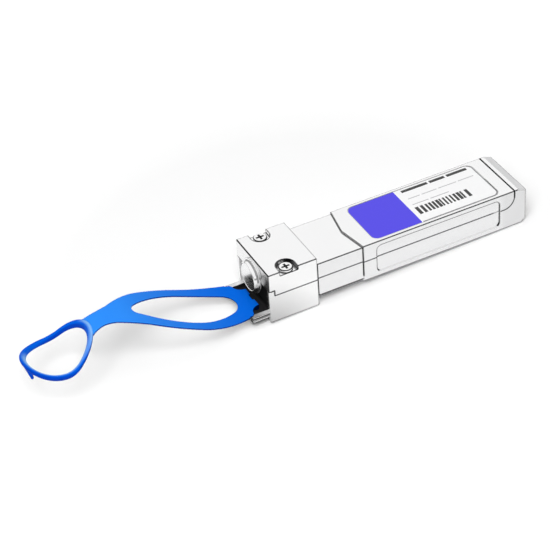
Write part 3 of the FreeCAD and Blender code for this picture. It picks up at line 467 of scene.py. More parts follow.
def sheet_steel():
    """Stamped sheet: bright folded arms, with painted shade on the near tops, in the groove, along the foot,
    between the arms and inside the nose, and dark edge lines as painted reflections.
    """
    made = Finish("sheet_steel", Specular_IOR_Level=0.15)
    rolled = made.noise(3000, rough=0.6, stretch=(0.15, 2.0, 2.0))
    # Painted shade: the near arm's top is darker, most of all ahead of the nose.
    near_top = made.both(made.above(made.facing["Z"], 0.7), made.region(across=(OPEN, 0.0), up=(0.2, OPEN)))
    painted_top_shade = made.blend(made.spread(made.along, -13.0, -10.8), grey(0.3, 0.005), grey(0.75, 0.005))
    # Painted shade: black in the groove and along the foot; the front tip is black too.
    groove = made.region(up=(-0.4, 0.14))
    foot = made.region(up=(OPEN, -0.7))
    tip = made.region(along=(OPEN, -13.97))
    # Painted shade between the arms and inside the nose, near black and matt.
    painted_inner_shade = made.either(made.region(aside=(OPEN, 4.92)), made.spread(made.along, -8.6, -7.4))
    made.to_shader("Base Color", made.paint(
        made.blend(rolled, grey(0.8, 0.01), grey(0.93)),
        (near_top, painted_top_shade),
        (made.either(groove, foot, tip), grey(0.01)),
        (made.edge(*FINE_EDGE), grey(0.05)),
        (painted_inner_shade, grey(0.014, 0.001))))
    made.to_shader("Metallic", made.level(painted_inner_shade, 0.2, 0.0))
    polish = made.roughness(rolled, 0.16, 0.28)
    made.to_shader("Roughness", made.either(polish, made.part_of(painted_inner_shade, 0.6)))
    made.bump(rolled, 0.002, 0.25)
    return made.material


def grained(name, grain, dark, light, roughness, relief, **sockets):
    """A finish whose colour, roughness and relief all follow one grain."""
    made = Finish(name, **sockets)
    pattern = made.noise(**grain)
    made.to_shader("Base Color", made.blend(pattern, dark, light))
    made.to_shader("Roughness", made.roughness(pattern, *roughness))
    made.bump(pattern, *relief)
    return made.material


def spring_steel():
    return grained("spring_steel", {"scale": 4000}, grey(0.5, 0.02), grey(0.7, 0.01),
                   roughness=(0.2, 0.34), relief=(0.002, 0.3), Metallic=1.0)


def gold_plate():
    return grained("gold_plate", {"scale": 3000, "stretch": (0.2, 2.0, 1.0)},
                   (0.83, 0.6, 0.2), (0.95, 0.74, 0.32),
                   roughness=(0.16, 0.28), relief=(0.002, 0.25), Metallic=1.0)


# Plastics, board and chips

def gap_pad():
    return grained("gap_pad", {"scale": 2600, "detail": 5, "rough": 0.65},
                   (0.42, 0.46, 0.5), (0.62, 0.66, 0.7), roughness=(0.5, 0.7), relief=(0.02, 0.5))


def blue_elastomer():
    """Satin moulding: deep blue at the root and in the ring, paler along the strap towards the ring as painted
    light, with painted shade on the strap's sides and a painted highlight and shade on the ring.
    """
    made = Finish("blue_elastomer", IOR=1.47, Specular_IOR_Level=0.05)
    cloud = made.noise(160, 2)
    deep = made.blend(cloud, (0.0, 0.122, 0.68), (0.0, 0.132, 0.71))
    pale = made.blend(cloud, (0.025, 0.255, 0.91), (0.03, 0.27, 0.94))
    # Painted shade on the strap's upright sides, near black at its root.
    upright = made.either(made.spread(made.size(made.facing["Y"]), 0.2, 0.5),
                          made.spread(made.size(made.facing["Z"]), 0.5, 0.3))
    painted_strap_side_shade = made.blend(made.spread(made.along, -16.5, -14.5), (0.0, 0.035, 0.3), (0.0, 0.008, 0.05))
    # Painted light: the strap grows paler from its root towards the ring.
    strap = made.paint(deep, (made.spread(made.along, -15.0, -38.0), pale), (upright, painted_strap_side_shade))

    from_middle = made.minus(made.along, RING_X)
    outward = made.length(made.math("DIVIDE", from_middle, RING_LENGTH),
                          made.math("DIVIDE", made.across, RING_WIDTH))
    ring = made.either(made.spread(outward, 1.1, 1.07), made.region(along=(OPEN, -50.0)))
    # Painted highlight (gleam) and painted shade on the ring's tube, set by its side in plan.
    sideways = made.math("ADD", made.part_of(from_middle, 0.6), made.part_of(made.across, 0.75))
    off_line = made.minus(1.0, made.math("DIVIDE", 1.0, outward))
    sheen = made.math("MULTIPLY", sideways, off_line)
    shade = made.spread(sheen, -0.16, -0.4, 0.0, 0.8)
    gleam = made.both(made.spread(sheen, -0.14, 0.12, 0.0, 0.75), made.spread(made.across, 3.2, 1.2))
    tube = made.paint(made.blend(cloud, (0.0, 0.105, 0.68), (0.0, 0.115, 0.72)),
                      (shade, (0.0, 0.035, 0.42)), (gleam, (0.28, 0.57, 0.95)))

    made.to_shader("Base Color", made.blend(ring, strap, tube))
    made.to_shader("Roughness", made.roughness(made.noise(5200), 0.4, 0.5))
    made.bump(made.noise(2600, 2), 0.001, 0.3)
    return made.material


def board_laminate():
    """Green solder mask with faint tracks to the contacts."""
    made = Finish("board_laminate")
    weave = made.noise(1500, stretch=(1.0, 4.0, 1.0))
    contact_pitch, first_line = 0.8, -8.0
    pitch = made.math("FRACT", made.math("DIVIDE", made.minus(made.across, first_line), contact_pitch))
    tracks = made.both(made.inside(pitch, 0.32, 0.68), made.region(along=(34.0, 43.0), aside=(OPEN, 4.0)))
    mask = made.blend(weave, (0.01, 0.13, 0.06), (0.02, 0.22, 0.1))
    made.to_shader("Base Color", made.blend(tracks, mask, (0.035, 0.3, 0.14)))
    made.to_shader("Roughness", made.roughness(weave, 0.28, 0.42))
    made.bump(weave, 0.01, 0.3)
    return made.material


def tinned_ends(made, side_reach, small_x, small_reach):
    """Soldered ends: at both sides of the wide chips, at front and rear of the small ones behind them."""
    small = made.region(along=(30.0, OPEN))
    wide_ends = made.without(made.region(aside=(side_reach, OPEN)), small)
    return made.either(wide_ends, made.both(small, made.above(made.off(made.along, small_x), small_reach)))


def moulded_chip(name, dark, light, ends=None):
    """Grainy chip body; ends says where it is tinned."""
    made = Finish(name)
    grain = made.noise(6000, 4)
    colour = made.blend(grain, dark, light)
    if ends:
        tinned = tinned_ends(made, *ends)
        colour = made.blend(tinned, colour, made.blend(grain, grey(0.6, -0.02), grey(0.74, -0.02)))
        made.to_shader("Metallic", tinned)
    made.to_shader("Base Color", colour)
    made.to_shader("Roughness", made.roughness(grain, 0.45, 0.65))
    made.bump(grain, 0.01, 0.4)
    return made.material


# Label. Bars of print in millimetres: (from x, to x, middle y, height)

HEAD_BARS = ((25.4, 31.4, 4.95, 0.8), (31.9, 35.4, 4.95, 0.8), (35.9, 40.6, 4.95, 0.8))
FINE_BARS = ((25.4, 28.1, 2.2, 0.26), (28.5, 32.0, 2.2, 0.26), (32.4, 36.6, 2.2, 0.26),
             (37.0, 40.6, 2.2, 0.26), (25.2, 28.9, 0.1, 0.26), (29.3, 33.6, 0.1, 0.26))
STRIPES = (25.0, 37.0, -2.2, 2.5)
END_STRIPES = ((25.0, 25.6, -2.2, 2.5), (26.15, 26.75, -2.2, 2.5), (36.35, 37.0, -2.2, 2.5))
STRIPE_GAPS = ((25.75, 26.15), (35.95, 36.3))
STRIPE_PITCH, STRIPE_WIDTHS = 0.8, (0.45, 0.88)
VIOLET_END, RIM_START, REAR_RIM = 24.0, 24.2, 41.0
LABEL_MIDDLE, CORNERS_ALONG, CORNERS_ASIDE, RIM_RADIUS = 27.5, 13.0, 4.5, 1.12


def label_film():
    """White film with a violet field, plain bars and stripes, and a thin grey rim of painted shade on its near
    and rear edges.
    """
    made = Finish("label_film", IOR=1.5)

    def bars(*places):
        return made.either(*(made.region(along=(start, end), across=(middle - height / 2, middle + height / 2))
                             for start, end, middle, height in places))

    fibre = made.noise(1200)
    white = made.blend(fibre, grey(0.9, 0.005), grey(0.94, 0.005))
    violet = made.blend(fibre, (0.062, 0.042, 0.73), (0.07, 0.048, 0.76))

    pace = made.math("DIVIDE", made.along, STRIPE_PITCH)
    chance = made.node("ShaderNodeTexWhiteNoise", noise_dimensions="1D")
    made.feed(chance.inputs["W"], made.math("FLOOR", pace))
    width = made.spread(chance.outputs["Value"], 0.0, 1.0, *STRIPE_WIDTHS)
    stripes = made.both(bars(STRIPES), made.below(made.math("FRACT", pace), width))
    gaps = made.either(*(made.region(along=gap) for gap in STRIPE_GAPS))
    stripes = made.either(made.without(stripes, gaps), bars(*END_STRIPES))

    past_corners = [made.math("MAXIMUM", made.minus(value, reach), 0.0)
                    for value, reach in ((made.off(made.along, LABEL_MIDDLE), CORNERS_ALONG),
                                         (made.aside, CORNERS_ASIDE))]
    # Painted shade: the rim is drawn only on the near and rear edges.
    near_or_rear = made.either(made.region(across=(OPEN, 0.0)), made.region(along=(REAR_RIM, OPEN)))
    rim = made.both(made.above(made.length(*past_corners), RIM_RADIUS), made.region(along=(RIM_START, OPEN)),
                    near_or_rear)

    made.to_shader("Base Color", made.paint(
        white,
        (made.region(along=(OPEN, VIOLET_END)), violet),
        (rim, grey(0.3, 0.01)),
        (bars(*FINE_BARS), grey(0.5, 0.01)),
        (bars(*HEAD_BARS), grey(0.02)),
        (stripes, grey(0.02))))
    made.to_shader("Roughness", made.roughness(fibre, 0.3, 0.38))
    made.bump(fibre, 0.0006, 0.2)
    return made.material


def dress_nodes():
    chip = moulded_chip("chip_body", grey(0.016, 0.001), grey(0.034, 0.002))
    resistor = moulded_chip("resistor_body", grey(0.03, 0.002), grey(0.06, 0.002), ends=(2.6, 32.5, 0.26))
    capacitor = moulded_chip("capacitor_body", (0.42, 0.3, 0.19), (0.56, 0.43, 0.29), ends=(0.37, 36.0, 0.26))
    case, gold = plated_case(), gold_plate()
    finishes = {
        "top_shell": case, "bottom_shell": case, "slider": sheet_steel(),
        "circuit_board": board_laminate(), "upper_contacts": gold, "lower_contacts": gold,
        "load_resistors": resistor, "pull_up_resistors": resistor, "thermal_pad": gap_pad(),
        "controller_chip": chip, "voltage_regulator": chip, "decoupling_capacitors": capacitor,
        "coupling_capacitors": capacitor, "label": label_film(),
    }
    for name, material in finishes.items():
        dress(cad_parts[name], material)


def stand_for(piece, body, node, material):
    """Let a piece take a node's place."""
    dress(piece, material)
    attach(piece, body)
    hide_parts(node)


# Pull tab: sheet spun along its side view, cut to its plan, with the finger ring

# Side view from the rear on: (kind, length of a run or radius of a turn in millimetres, degrees)
COURSE = (("run", 1.65, 0.0), ("turn", 28.7, 24.0), ("run", 9.9, 0.0), ("turn", 19.9, -24.0),
          ("turn", 6.5, -38.5), ("run", 4.8, 0.0), ("turn", 5.3, 38.5), ("turn", 12.3, 45.0))
BLANK_WIDTH, CUTTER_REACH, ON_MIDDLE = 18.0, 20.0, 1e-9
DEGREES_A_STEP, FEWEST_STEPS = 2, 4
TAB_VOXEL, TAB_SMOOTHING, TAB_DECIMATION = 0.085, 8, 0.45
RING_SMOOTHING = 0.05  # what the smoothing takes off the ring's section
LIP_TURN, LIP_WAY, LIP_TIP = 180 + 11, (0, -2.2, -1.0), 0.3
ANCHOR_MIDDLE, ANCHOR_SIZE = (-12.65, 0, -0.05), (3.0, 9.7, 1.2)


def course_steps():
    """Side view of the tab in millimetres: start, end, centre, signed turn for each step."""
    x, z, heading = TAB_REAR, TAB_LEVEL, 0.0
    steps = []
    for kind, amount, degrees in COURSE:
        if kind == "run":
            end = (x - amount * math.cos(heading), z + amount * math.sin(heading))
            steps.append(((x, z), end, None, 0.0))
        else:
            turn = math.radians(degrees)
            reach = math.copysign(amount, turn)
            centre = (x + reach * math.sin(heading), z + reach * math.cos(heading))
            heading += turn
            end = (centre[0] - reach * math.sin(heading), centre[1] - reach * math.cos(heading))
            steps.append(((x, z), end, centre, turn))
        x, z = end
    return steps


def course_height(x):
    for start, end, centre, turn in course_steps():
        if end[0] <= x <= start[0]:
            if centre is None:
                return start[1] + (end[1] - start[1]) * (start[0] - x) / (start[0] - end[0])
            radius = math.dist(start, centre)
            return centre[1] - math.copysign(math.sqrt(radius ** 2 - (x - centre[0]) ** 2), turn)
    return TAB_LEVEL if x > TAB_REAR else end[1]


def wavy_sheet():
    """A strip drawn out along the side view: runs are extruded, turns are spun."""
    clear_selection()
    bpy.ops.mesh.primitive_plane_add(size=BLANK_WIDTH * MM, location=(TAB_REAR * MM, 0, TAB_LEVEL * MM))
    sheet = settle(bpy.context.object)
    open_mesh(sheet)
    bpy.ops.transform.resize(value=(0, 1, 1))
    bpy.ops.mesh.remove_doubles(threshold=WELD_REACH)
    for start, end, centre, turn in course_steps():
        if centre is None:
            move = Vector((end[0] - start[0], 0, end[1] - start[1])) * MM
            bpy.ops.mesh.extrude_region_move(TRANSFORM_OT_translate={"value": move})
        else:
            steps = max(FEWEST_STEPS, int(abs(math.degrees(turn)) / DEGREES_A_STEP))
            bpy.ops.mesh.spin(steps=steps, angle=-turn, axis=(0, 1, 0),
                              center=(centre[0] * MM, 0, centre[1] * MM))
    close_mesh()
    weld(sheet)
    apply_modifier(sheet, "SOLIDIFY", thickness=TAB_THICKNESS * MM, offset=0.0)
    return sheet


def arc(centre, start, end, step):
    """Points of the shorter arc from start to end, both included, a step in degrees apart."""
    first = math.atan2(start[1] - centre[1], start[0] - centre[0])
    turn = math.atan2(end[1] - centre[1], end[0] - centre[0]) - first
    turn = (turn + math.pi) % (2 * math.pi) - math.pi
    radius = math.dist(centre, start)
    count = max(3, int(abs(math.degrees(turn)) / step))
    return [(centre[0] + radius * math.cos(first + turn * k / count),
             centre[1] + radius * math.sin(first + turn * k / count)) for k in range(count + 1)]


def point_towards(start, end, distance):
    """The point at a distance from start on its line to end."""
    share = distance / math.dist(start, end)
    return tuple(s + (e - s) * share for s, e in zip(start, end))


def strap_half():
    """Half of the strap's plan, from its toothed rear edge to the finger ring."""
    widest, side = (-23.6, 7.0), 35.3
    side_centre = (widest[0], widest[1] - side)
    neck_x, neck = -43.0, 2.35
    along, below = widest[0] - neck_x, neck - side_centre[1]
    neck_radius = (along ** 2 + below ** 2 - side ** 2) / (2 * (side - below))
    neck_centre = (neck_x, neck + neck_radius)
    side_end = point_towards(side_centre, neck_centre, side)
    notch_depth, notch, tooth, scallop = 0.4, 0.85, 2.95, 1.97
    scallop_centre = (TAB_REAR - 0.05 * scallop, tooth + scallop)
    scallop_start = (scallop_centre[0], scallop_centre[1] - scallop)
    scallop_end = (scallop_centre[0] - scallop, scallop_centre[1])
    shoulder_x, shoulder = -14.45, 5.5
    side_start = (shoulder_x, side_centre[1] + math.sqrt(side ** 2 - (shoulder_x - widest[0]) ** 2))
    end_x = RING_X + RING_LENGTH - RING_SECTION / 4
    end = (end_x, neck_centre[1] - math.sqrt(neck_radius ** 2 - (end_x - neck_x) ** 2))
    notch_x = TAB_REAR - notch_depth
    points = [(notch_x, 0.0), (notch_x, notch), (TAB_REAR, notch), (TAB_REAR, tooth)]
    points += arc(scallop_centre, scallop_start, scallop_end, 6.0)
    points += [(scallop_end[0] - 0.25 * scallop, shoulder), (shoulder_x, shoulder)]
    points += arc(side_centre, side_start, side_end, 1.0)
    points += arc(neck_centre, side_end, end, 2.0)[1:]
    return points + [(end_x, 0.0)]


def window_half():
    """Half of the window's plan: a long side arc with a round end each way."""
    middle, half_width, side = -24.6, 4.66, 19.1
    rear_radius, front_radius = 3.2, 1.6
    side_centre = (middle, half_width - side)
    rounds = []
    for way, radius in ((1, rear_radius), (-1, front_radius)):
        centre = (middle + way * math.sqrt((side - radius) ** 2 - side_centre[1] ** 2), 0.0)
        rounds.append((centre, (centre[0] + way * radius, 0.0), point_towards(side_centre, centre, side)))
    (rear, rear_tip, rear_touch), (front, front_tip, front_touch) = rounds
    points = arc(rear, rear_tip, rear_touch, 5.0)
    points += arc(side_centre, rear_touch, front_touch, 1.0)[1:]
    return points + arc(front, front_touch, front_tip, 5.0)[1:]


def plan_prism(name, half):
    """A tall block over a plan that is symmetric about the middle line."""
    loop = half + [(x, -y) for x, y in reversed(half) if y > ON_MIDDLE]
    drawing = bpy.data.curves.new(name, "CURVE")
    drawing.dimensions = "2D"
    drawing.fill_mode = "BOTH"
    drawing.extrude = CUTTER_REACH * MM
    line = drawing.splines.new("POLY")
    line.points.add(len(loop) - 1)
    for spot, (x, y) in zip(line.points, loop):
        spot.co = (x * MM, y * MM, 0.0, 1.0)
    line.use_cyclic_u = True
    prism = bpy.data.objects.new(name, drawing)
    scene.collection.objects.link(prism)
    take(prism)
    bpy.ops.object.convert(target="MESH")
    return weld(bpy.context.object)


def finger_ring():
    """A torus drawn out to an oval that follows the strap's side view."""
    clear_selection()
    mean = (RING_LENGTH + RING_WIDTH) / 2
    section = RING_SECTION / 2 + RING_SMOOTHING
    bpy.ops.mesh.primitive_torus_add(major_radius=mean * MM, minor_radius=section * MM,
                                     major_segments=128, minor_segments=24)
    ring = bpy.context.object
    open_mesh(ring)
    bpy.ops.transform.resize(value=(RING_LENGTH / mean, RING_WIDTH / mean, 1))
    bpy.ops.transform.translate(value=(RING_X * MM, 0, 0))
    close_mesh()
    for vertex in ring.data.vertices:
        vertex.co.z += course_height(vertex.co.x / MM) * MM
    return ring


def ring_lip():
    """The small tapered tip that hangs from the ring's far end."""
    turn = math.radians(LIP_TURN)
    x, y = RING_X + RING_LENGTH * math.cos(turn), RING_WIDTH * math.sin(turn)
    root = Vector((x, y, course_height(x))) * MM
    way = Vector(LIP_WAY) * MM
    clear_selection()
    bpy.ops.mesh.primitive_cone_add(vertices=24, radius1=RING_SECTION / 2 * MM, radius2=LIP_TIP * MM,
                                    depth=way.length, location=root + way / 2,
                                    rotation=way.to_track_quat("Z", "Y").to_euler())
    lip = settle(bpy.context.object)
    clear_selection()
    bpy.ops.mesh.primitive_uv_sphere_add(segments=24, ring_count=12, radius=LIP_TIP * MM, location=root + way)
    return [lip, settle(bpy.context.object)]


def pull_tab():
    plan = plan_prism("plan", strap_half())
    window = plan_prism("window", window_half())
    tab = wavy_sheet()
    cut(tab, plan, "INTERSECT")
    cut(tab, window, "DIFFERENCE")
    anchor = block("anchor", ANCHOR_MIDDLE, ANCHOR_SIZE)
    cut(anchor, plan, "INTERSECT")
    others = [anchor, finger_ring(), *ring_lip()]
    for tool in (plan, window):
        bpy.data.objects.remove(tool)
    join(tab, others)
    tab.name = "moulded_pull_tab"
    apply_modifier(tab, "REMESH", mode="VOXEL", voxel_size=TAB_VOXEL * MM)
    apply_modifier(tab, "SMOOTH", factor=0.5, iterations=TAB_SMOOTHING)
    apply_modifier(tab, "DECIMATE", ratio=TAB_DECIMATION)
    take(tab)
    bpy.ops.object.shade_smooth()
    tab.visible_glossy = False
    tab.visible_diffuse = False
    stand_for(tab, "puller", "pull_tab", blue_elastomer())


# Turned collar, cross-recess screws, slider's web and coil springs

LATHE_STEPS, BEVEL_STEPS = 96, 2
SHARP_ANGLE, SMOOTH_ANGLE, WIRE_ANGLE = 25, 32, 40  # degrees between faces


def lathe(name, profile, middle, way):
    """A turned piece: steps of (along, radius) in millimetres, spun round a line through middle."""
    clear_selection()
    middle, way, out = Vector(middle) * MM, Vector(way), Vector((0, 1, 0))
    spots = [middle + (way * along + out * radius) * MM for along, radius in profile]
    bpy.ops.mesh.primitive_plane_add(size=MM, location=spots[0])
    piece = settle(bpy.context.object)
    piece.name = name
    open_mesh(piece)
    bpy.ops.mesh.merge(type="CENTER")
    for start, end in zip(spots, spots[1:]):
        bpy.ops.mesh.extrude_vertices_move(TRANSFORM_OT_translate={"value": end - start})
    bpy.ops.mesh.select_all(action="SELECT")
    bpy.ops.mesh.spin(steps=LATHE_STEPS, angle=2 * math.pi, center=middle, axis=way)
    bpy.ops.mesh.select_all(action="SELECT")
    bpy.ops.mesh.remove_doubles(threshold=WELD_REACH)
    bpy.ops.mesh.dissolve_degenerate(threshold=WELD_REACH)
    close_mesh()
    return weld(piece)


def shade_by_angle(piece, degrees):
    take(piece)
    bpy.ops.object.shade_smooth_by_angle(angle=math.radians(degrees))


def soften(piece, width):
    """Round off the sharp edges and shade the rest smooth."""
    apply_modifier(piece, "BEVEL", width=width * MM, segments=BEVEL_STEPS, limit_method="ANGLE",
                   angle_limit=math.radians(SHARP_ANGLE))
    shade_by_angle(piece, SMOOTH_ANGLE)


def copy_of(piece, name, move):
    """A second piece like the first, with its own mesh, moved in millimetres."""
    take(piece)
    bpy.ops.object.duplicate(linked=False)
    twin = bpy.context.object
    twin.name = name
    twin.location = Vector(move) * MM
    return settle(twin)


def turned_collar():
    """A closed collar: polished front face in a thin rim, flange, neck and inner shoulder."""
    front, flange, nose, neck, rear = -11.85, -10.95, -10.65, -8.15, -7.2
    profile = ((front + 0.1, 0.0), (front + 0.1, 2.82), (front, 2.87), (front, 2.97), (front + 0.18, 3.15),
               (flange, 3.15), (flange, 3.65), (nose, 3.65), (nose, 2.5), (neck, 2.5), (neck, 3.05),
               (rear, 3.05), (rear, 0.0))
    collar = lathe("turned_collar", profile, (0, 0, COLLAR_LEVEL), (1, 0, 0))
    soften(collar, 0.06)
    finish = polished_steel("polished_steel", collar_rims_and_corner_shade, haze=0.15)
    stand_for(collar, "module", "nose_collar", finish)


def cross_cutter():
    """A tapered cross that presses the recess into a screw head."""
    length, width, height, middle, taper = 1.9, 0.5, 0.7, 9.55, 0.75
    blades = []
    for size in ((length, width, height), (width, length, height)):
        blade = block("blade", (SCREW_X, SCREW_SIDE, middle), size)
        open_part(blade, "VERT", lambda vertex: vertex.co.z < middle * MM)
        bpy.ops.transform.resize(value=(taper, taper, 1),
                                 center_override=(SCREW_X * MM, SCREW_SIDE * MM, 0))
        close_mesh()
        blades.append(blade)
    cut(blades[0], blades[1], "UNION")
    bpy.data.objects.remove(blades[1])
    return blades[0]


def cross_screws():
    """Two screws, the second a copy of the first."""
    tip, head, chamfer, top = 1.8, 9.0, 9.45, 9.62
    profile = ((tip, 0.0), (tip, 0.7), (tip + 0.2, 0.9), (head, 0.9), (head, 1.4), (chamfer, 1.4),
               (top, 1.22), (top, 0.0))
    screws = lathe("cross_screws", profile, (SCREW_X, SCREW_SIDE, 0), (0, 0, 1))
    cross = cross_cutter()
    cut(screws, cross, "DIFFERENCE")
    bpy.data.objects.remove(cross)
    weld(screws)
    soften(screws, 0.03)
    join(screws, [copy_of(screws, "other_screw", (0, -2 * SCREW_SIDE, 0))])
    finish = polished_steel("screw_steel", screw_recess_and_foot_shade, haze=0.06)
    stand_for(screws, "module", "cover_screws", finish)


def slider_web():
    """The slider's thin front plate between its arms, dished by the press, which the tab is moulded to."""
    border, slope, dish = 0.5, 0.15, 0.1
    web = block("slider_web", (-10.85, 0, -0.67), (2.9, 9.8, 0.3))
    open_part(web, "FACE", lambda face: face.normal.z > 0.9)
    bpy.ops.mesh.inset(thickness=border * MM)
    bpy.ops.mesh.inset(thickness=slope * MM, depth=-dish * MM)
    close_mesh()
    soften(web, 0.04)
    dress(web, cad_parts["slider"].data.materials[0])
    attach(web, "puller")


def coil_springs():
    """Round wire wound four times."""
    first, length, side, level = -8.16, 5.41, 2.6, -0.35
    turns, wire, radius = 4, 0.12, 0.455
    steps = 40 * turns
    clear_selection()
    bpy.ops.mesh.primitive_circle_add(vertices=14, radius=wire * MM, fill_type="NOTHING",
                                      location=(0, radius * MM, 0), rotation=(0, 0, math.pi / 2))
    left = settle(bpy.context.object)
    left.name = "coil_return_spring_left"
    apply_modifier(left, "SCREW", axis="X", angle=2 * math.pi * turns,
                   screw_offset=(length - 2 * wire) * MM, steps=steps, render_steps=steps)
    left.location = ((first + wire) * MM, side * MM, level * MM)
    open_mesh(settle(left))
    bpy.ops.mesh.remove_doubles(threshold=WELD_REACH)
    bpy.ops.mesh.fill_holes(sides=0)
    bpy.ops.mesh.normals_make_consistent(inside=False)
    close_mesh()
    shade_by_angle(left, WIRE_ANGLE)
    right = copy_of(left, "coil_return_spring_right", (0, -2 * side, 0))
    finish = spring_steel()
    for spring, node in ((left, "return_spring_left"), (right, "return_spring_right")):
        stand_for(spring, "module", node, finish)
        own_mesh(spring)


# Studio: pale floor, dark cards for reflections, soft lamps, camera

# The floor passes under the nose's foot and the body's rear corner: (x, z) in millimetres
FLOOR_FRONT, FLOOR_REAR, FLOOR_GAP, FLOOR_SIZE = (0.0, -1.6), (46.4, 0.0), 0.02, 6.0
FLOOR_COLOUR = (*grey(0.955), 1)
GLOW_SPAN, GLOW_LEVELS = (0.05, 0.24), (0.02, 1.0)  # metres from the origin, strength
MIRRORED_SHARE = 0.7
# Painted shadow: the floor as seen in reflections is dimmer round this spot.
DIM_SPOT, DIM_SPAN, DIM_LEVELS = (-11.0, -7.0, -1.6), (2.0, 13.0), (0.3, 1.0)  # under the nose's near corner
WORLD_LIGHT, WORLD_SEEN = 0.14, 1.0
FLAG_COLOUR = (*grey(0.02), 1)
WALL_RADIUS, WALL_HEIGHT, WALL_LEVEL = 0.8, 0.15, 0.04  # metres
CARD_PLACE, CARD_SIZE = (-13.9, 1.6, 0.36), (4.0, 9.8, 1.0)
LAMPS = {"key": ((-0.25, -0.38, 0.62), 0.5, 4.8),  # place and size in metres, watts
         "fill": ((0.0, 0.05, 0.75), 0.6, 2.1)}
CAMERA_PLACE, CAMERA_ANGLES = (-133.78, -278.93, 246.72), (-24.62, 38.38, 4.32)  # azimuth, elevation, roll
CAMERA_LENS, CAMERA_SENSOR, CAMERA_CLIP = 131.4, 36.0, (0.01, 20.0)


def floor_finish():
    """White table: keeps the shadows, fades to white far off, and looks pale in polished metal, with a painted
    shadow in its reflections near the nose's near corner.
    """
    material = bpy.data.materials.new("pale_floor")
    material.use_nodes = True
    graph = Graph(material.node_tree)
    nodes = graph.tree.nodes
    nodes.remove(nodes["Principled BSDF"])
    path = graph.node("ShaderNodeLightPath").outputs
    place = graph.node("ShaderNodeTexCoord").outputs["Object"]

    far = graph.spread(graph.measure("LENGTH", place), *GLOW_SPAN, *GLOW_LEVELS)
    glow = graph.shader("ShaderNodeEmission", WHITE, graph.math("MULTIPLY", path["Is Camera Ray"], far))
    table = graph.shader("ShaderNodeAddShader", graph.shader("ShaderNodeBsdfDiffuse", FLOOR_COLOUR), glow)

    from_spot = graph.measure("DISTANCE", place, Vector(DIM_SPOT) * MM)
    dimmed = graph.spread(from_spot, *(reach * MM for reach in DIM_SPAN), *DIM_LEVELS)
    mirrored_floor_glow = graph.shader("ShaderNodeEmission", WHITE, dimmed)
    mirrored = graph.either(path["Is Glossy Ray"], path["Is Transmission Ray"])
    share = graph.math("MULTIPLY", mirrored, MIRRORED_SHARE)
    upper = graph.shader("ShaderNodeMixShader", share, table, mirrored_floor_glow)

    below = graph.node("ShaderNodeNewGeometry").outputs["Backfacing"]
    clear = graph.shader("ShaderNodeBsdfTransparent")
    one_sided = graph.shader("ShaderNodeMixShader", below, upper, clear)
    graph.feed(nodes["Material Output"].inputs["Surface"], one_sided)
    return material


def pale_floor():
    clear_selection()
    bpy.ops.mesh.primitive_plane_add(size=FLOOR_SIZE)
    floor = bpy.context.object
    floor.name = "floor"
    slope = math.atan2(FLOOR_REAR[1] - FLOOR_FRONT[1], FLOOR_REAR[0] - FLOOR_FRONT[0])
    floor.rotation_euler = (0, -slope, 0)
    floor.location = (0, 0, (FLOOR_FRONT[1] - FLOOR_GAP) * MM)
    settle(floor)
    dress(floor, floor_finish())


def white_world():
    """White to look at and in reflections, and a weak light from all round."""
    world = bpy.data.worlds.new("studio")
    scene.world = world
    world.use_nodes = True
    graph = Graph(world.node_tree)
    path = graph.node("ShaderNodeLightPath").outputs
    seen = graph.either(path["Is Camera Ray"], path["Is Glossy Ray"], path["Is Transmission Ray"])
    background = graph.tree.nodes["Background"].inputs
    graph.feed(background["Color"], WHITE)
    graph.feed(background["Strength"], graph.level(seen, WORLD_LIGHT, WORLD_SEEN))


def flag_black():
    material = bpy.data.materials.new("flag_black")
    material.use_nodes = True
    inputs = material.node_tree.nodes["Principled BSDF"].inputs
    inputs["Base Color"].default_value = FLAG_COLOUR
    inputs["Roughness"].default_value = 1.0
    return material


def set_up_flag(piece, name, material):
    """Make a dark piece part of the stage that is seen only in reflections."""
    piece.name = name
    piece.visible_camera = False
    piece.visible_diffuse = False
    piece.visible_shadow = False
    dress(piece, material)


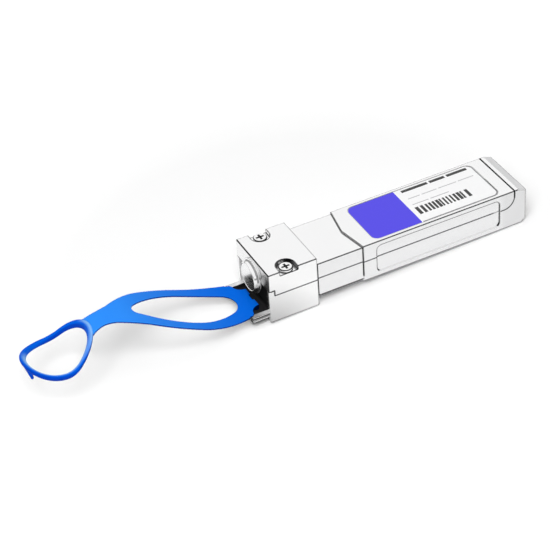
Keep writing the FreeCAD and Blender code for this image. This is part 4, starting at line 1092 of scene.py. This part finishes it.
def dark_flags():
    """A low dark wall far round the table that draws the edges, and a dark card at the strap's root that
    stands for shade in the chrome's reflections.
    """
    black = flag_black()
    clear_selection()
    bpy.ops.mesh.primitive_cylinder_add(vertices=64, radius=WALL_RADIUS, depth=WALL_HEIGHT,
                                        end_fill_type="NOTHING", location=(0, 0, WALL_LEVEL))
    set_up_flag(settle(bpy.context.object), "flags", black)
    clear_selection()
    bpy.ops.mesh.primitive_plane_add(size=MM, location=[value * MM for value in CARD_PLACE])
    card = bpy.context.object
    card.scale = CARD_SIZE
    set_up_flag(settle(card), "strap_shade", black)


def soft_lamp(name, place, size, power):
    """A square lamp aimed at the origin, left out of reflections."""
    data = bpy.data.lights.new(name, "AREA")
    data.size = size
    data.energy = power
    lamp = bpy.data.objects.new(name, data)
    scene.collection.objects.link(lamp)
    lamp.location = place
    lamp.rotation_euler = (-Vector(place)).to_track_quat("-Z", "Y").to_euler()
    lamp.visible_glossy = False


def camera_at_photo_angle():
    data = bpy.data.cameras.new("camera")
    data.lens = CAMERA_LENS
    data.sensor_width = CAMERA_SENSOR
    data.clip_start, data.clip_end = CAMERA_CLIP
    azimuth, elevation, roll = (math.radians(angle) for angle in CAMERA_ANGLES)
    back = Vector((math.sin(azimuth) * math.cos(elevation), -math.cos(azimuth) * math.cos(elevation),
                   math.sin(elevation)))
    right = Vector((math.cos(azimuth), math.sin(azimuth), 0))
    up = back.cross(right)
    rolled_right = right * math.cos(roll) - up * math.sin(roll)
    rolled_up = right * math.sin(roll) + up * math.cos(roll)
    turn = Matrix((rolled_right, rolled_up, back)).transposed().to_4x4()
    camera = bpy.data.objects.new("camera", data)
    scene.collection.objects.link(camera)
    camera.matrix_world = Matrix.Translation(Vector(CAMERA_PLACE) * MM) @ turn
    scene.camera = camera


dress_nodes()
pull_tab()
turned_collar()
cross_screws()
slider_web()
coil_springs()
pale_floor()
white_world()
dark_flags()
for lamp_name, lamp_values in LAMPS.items():
    soft_lamp(lamp_name, *lamp_values)
camera_at_photo_angle()
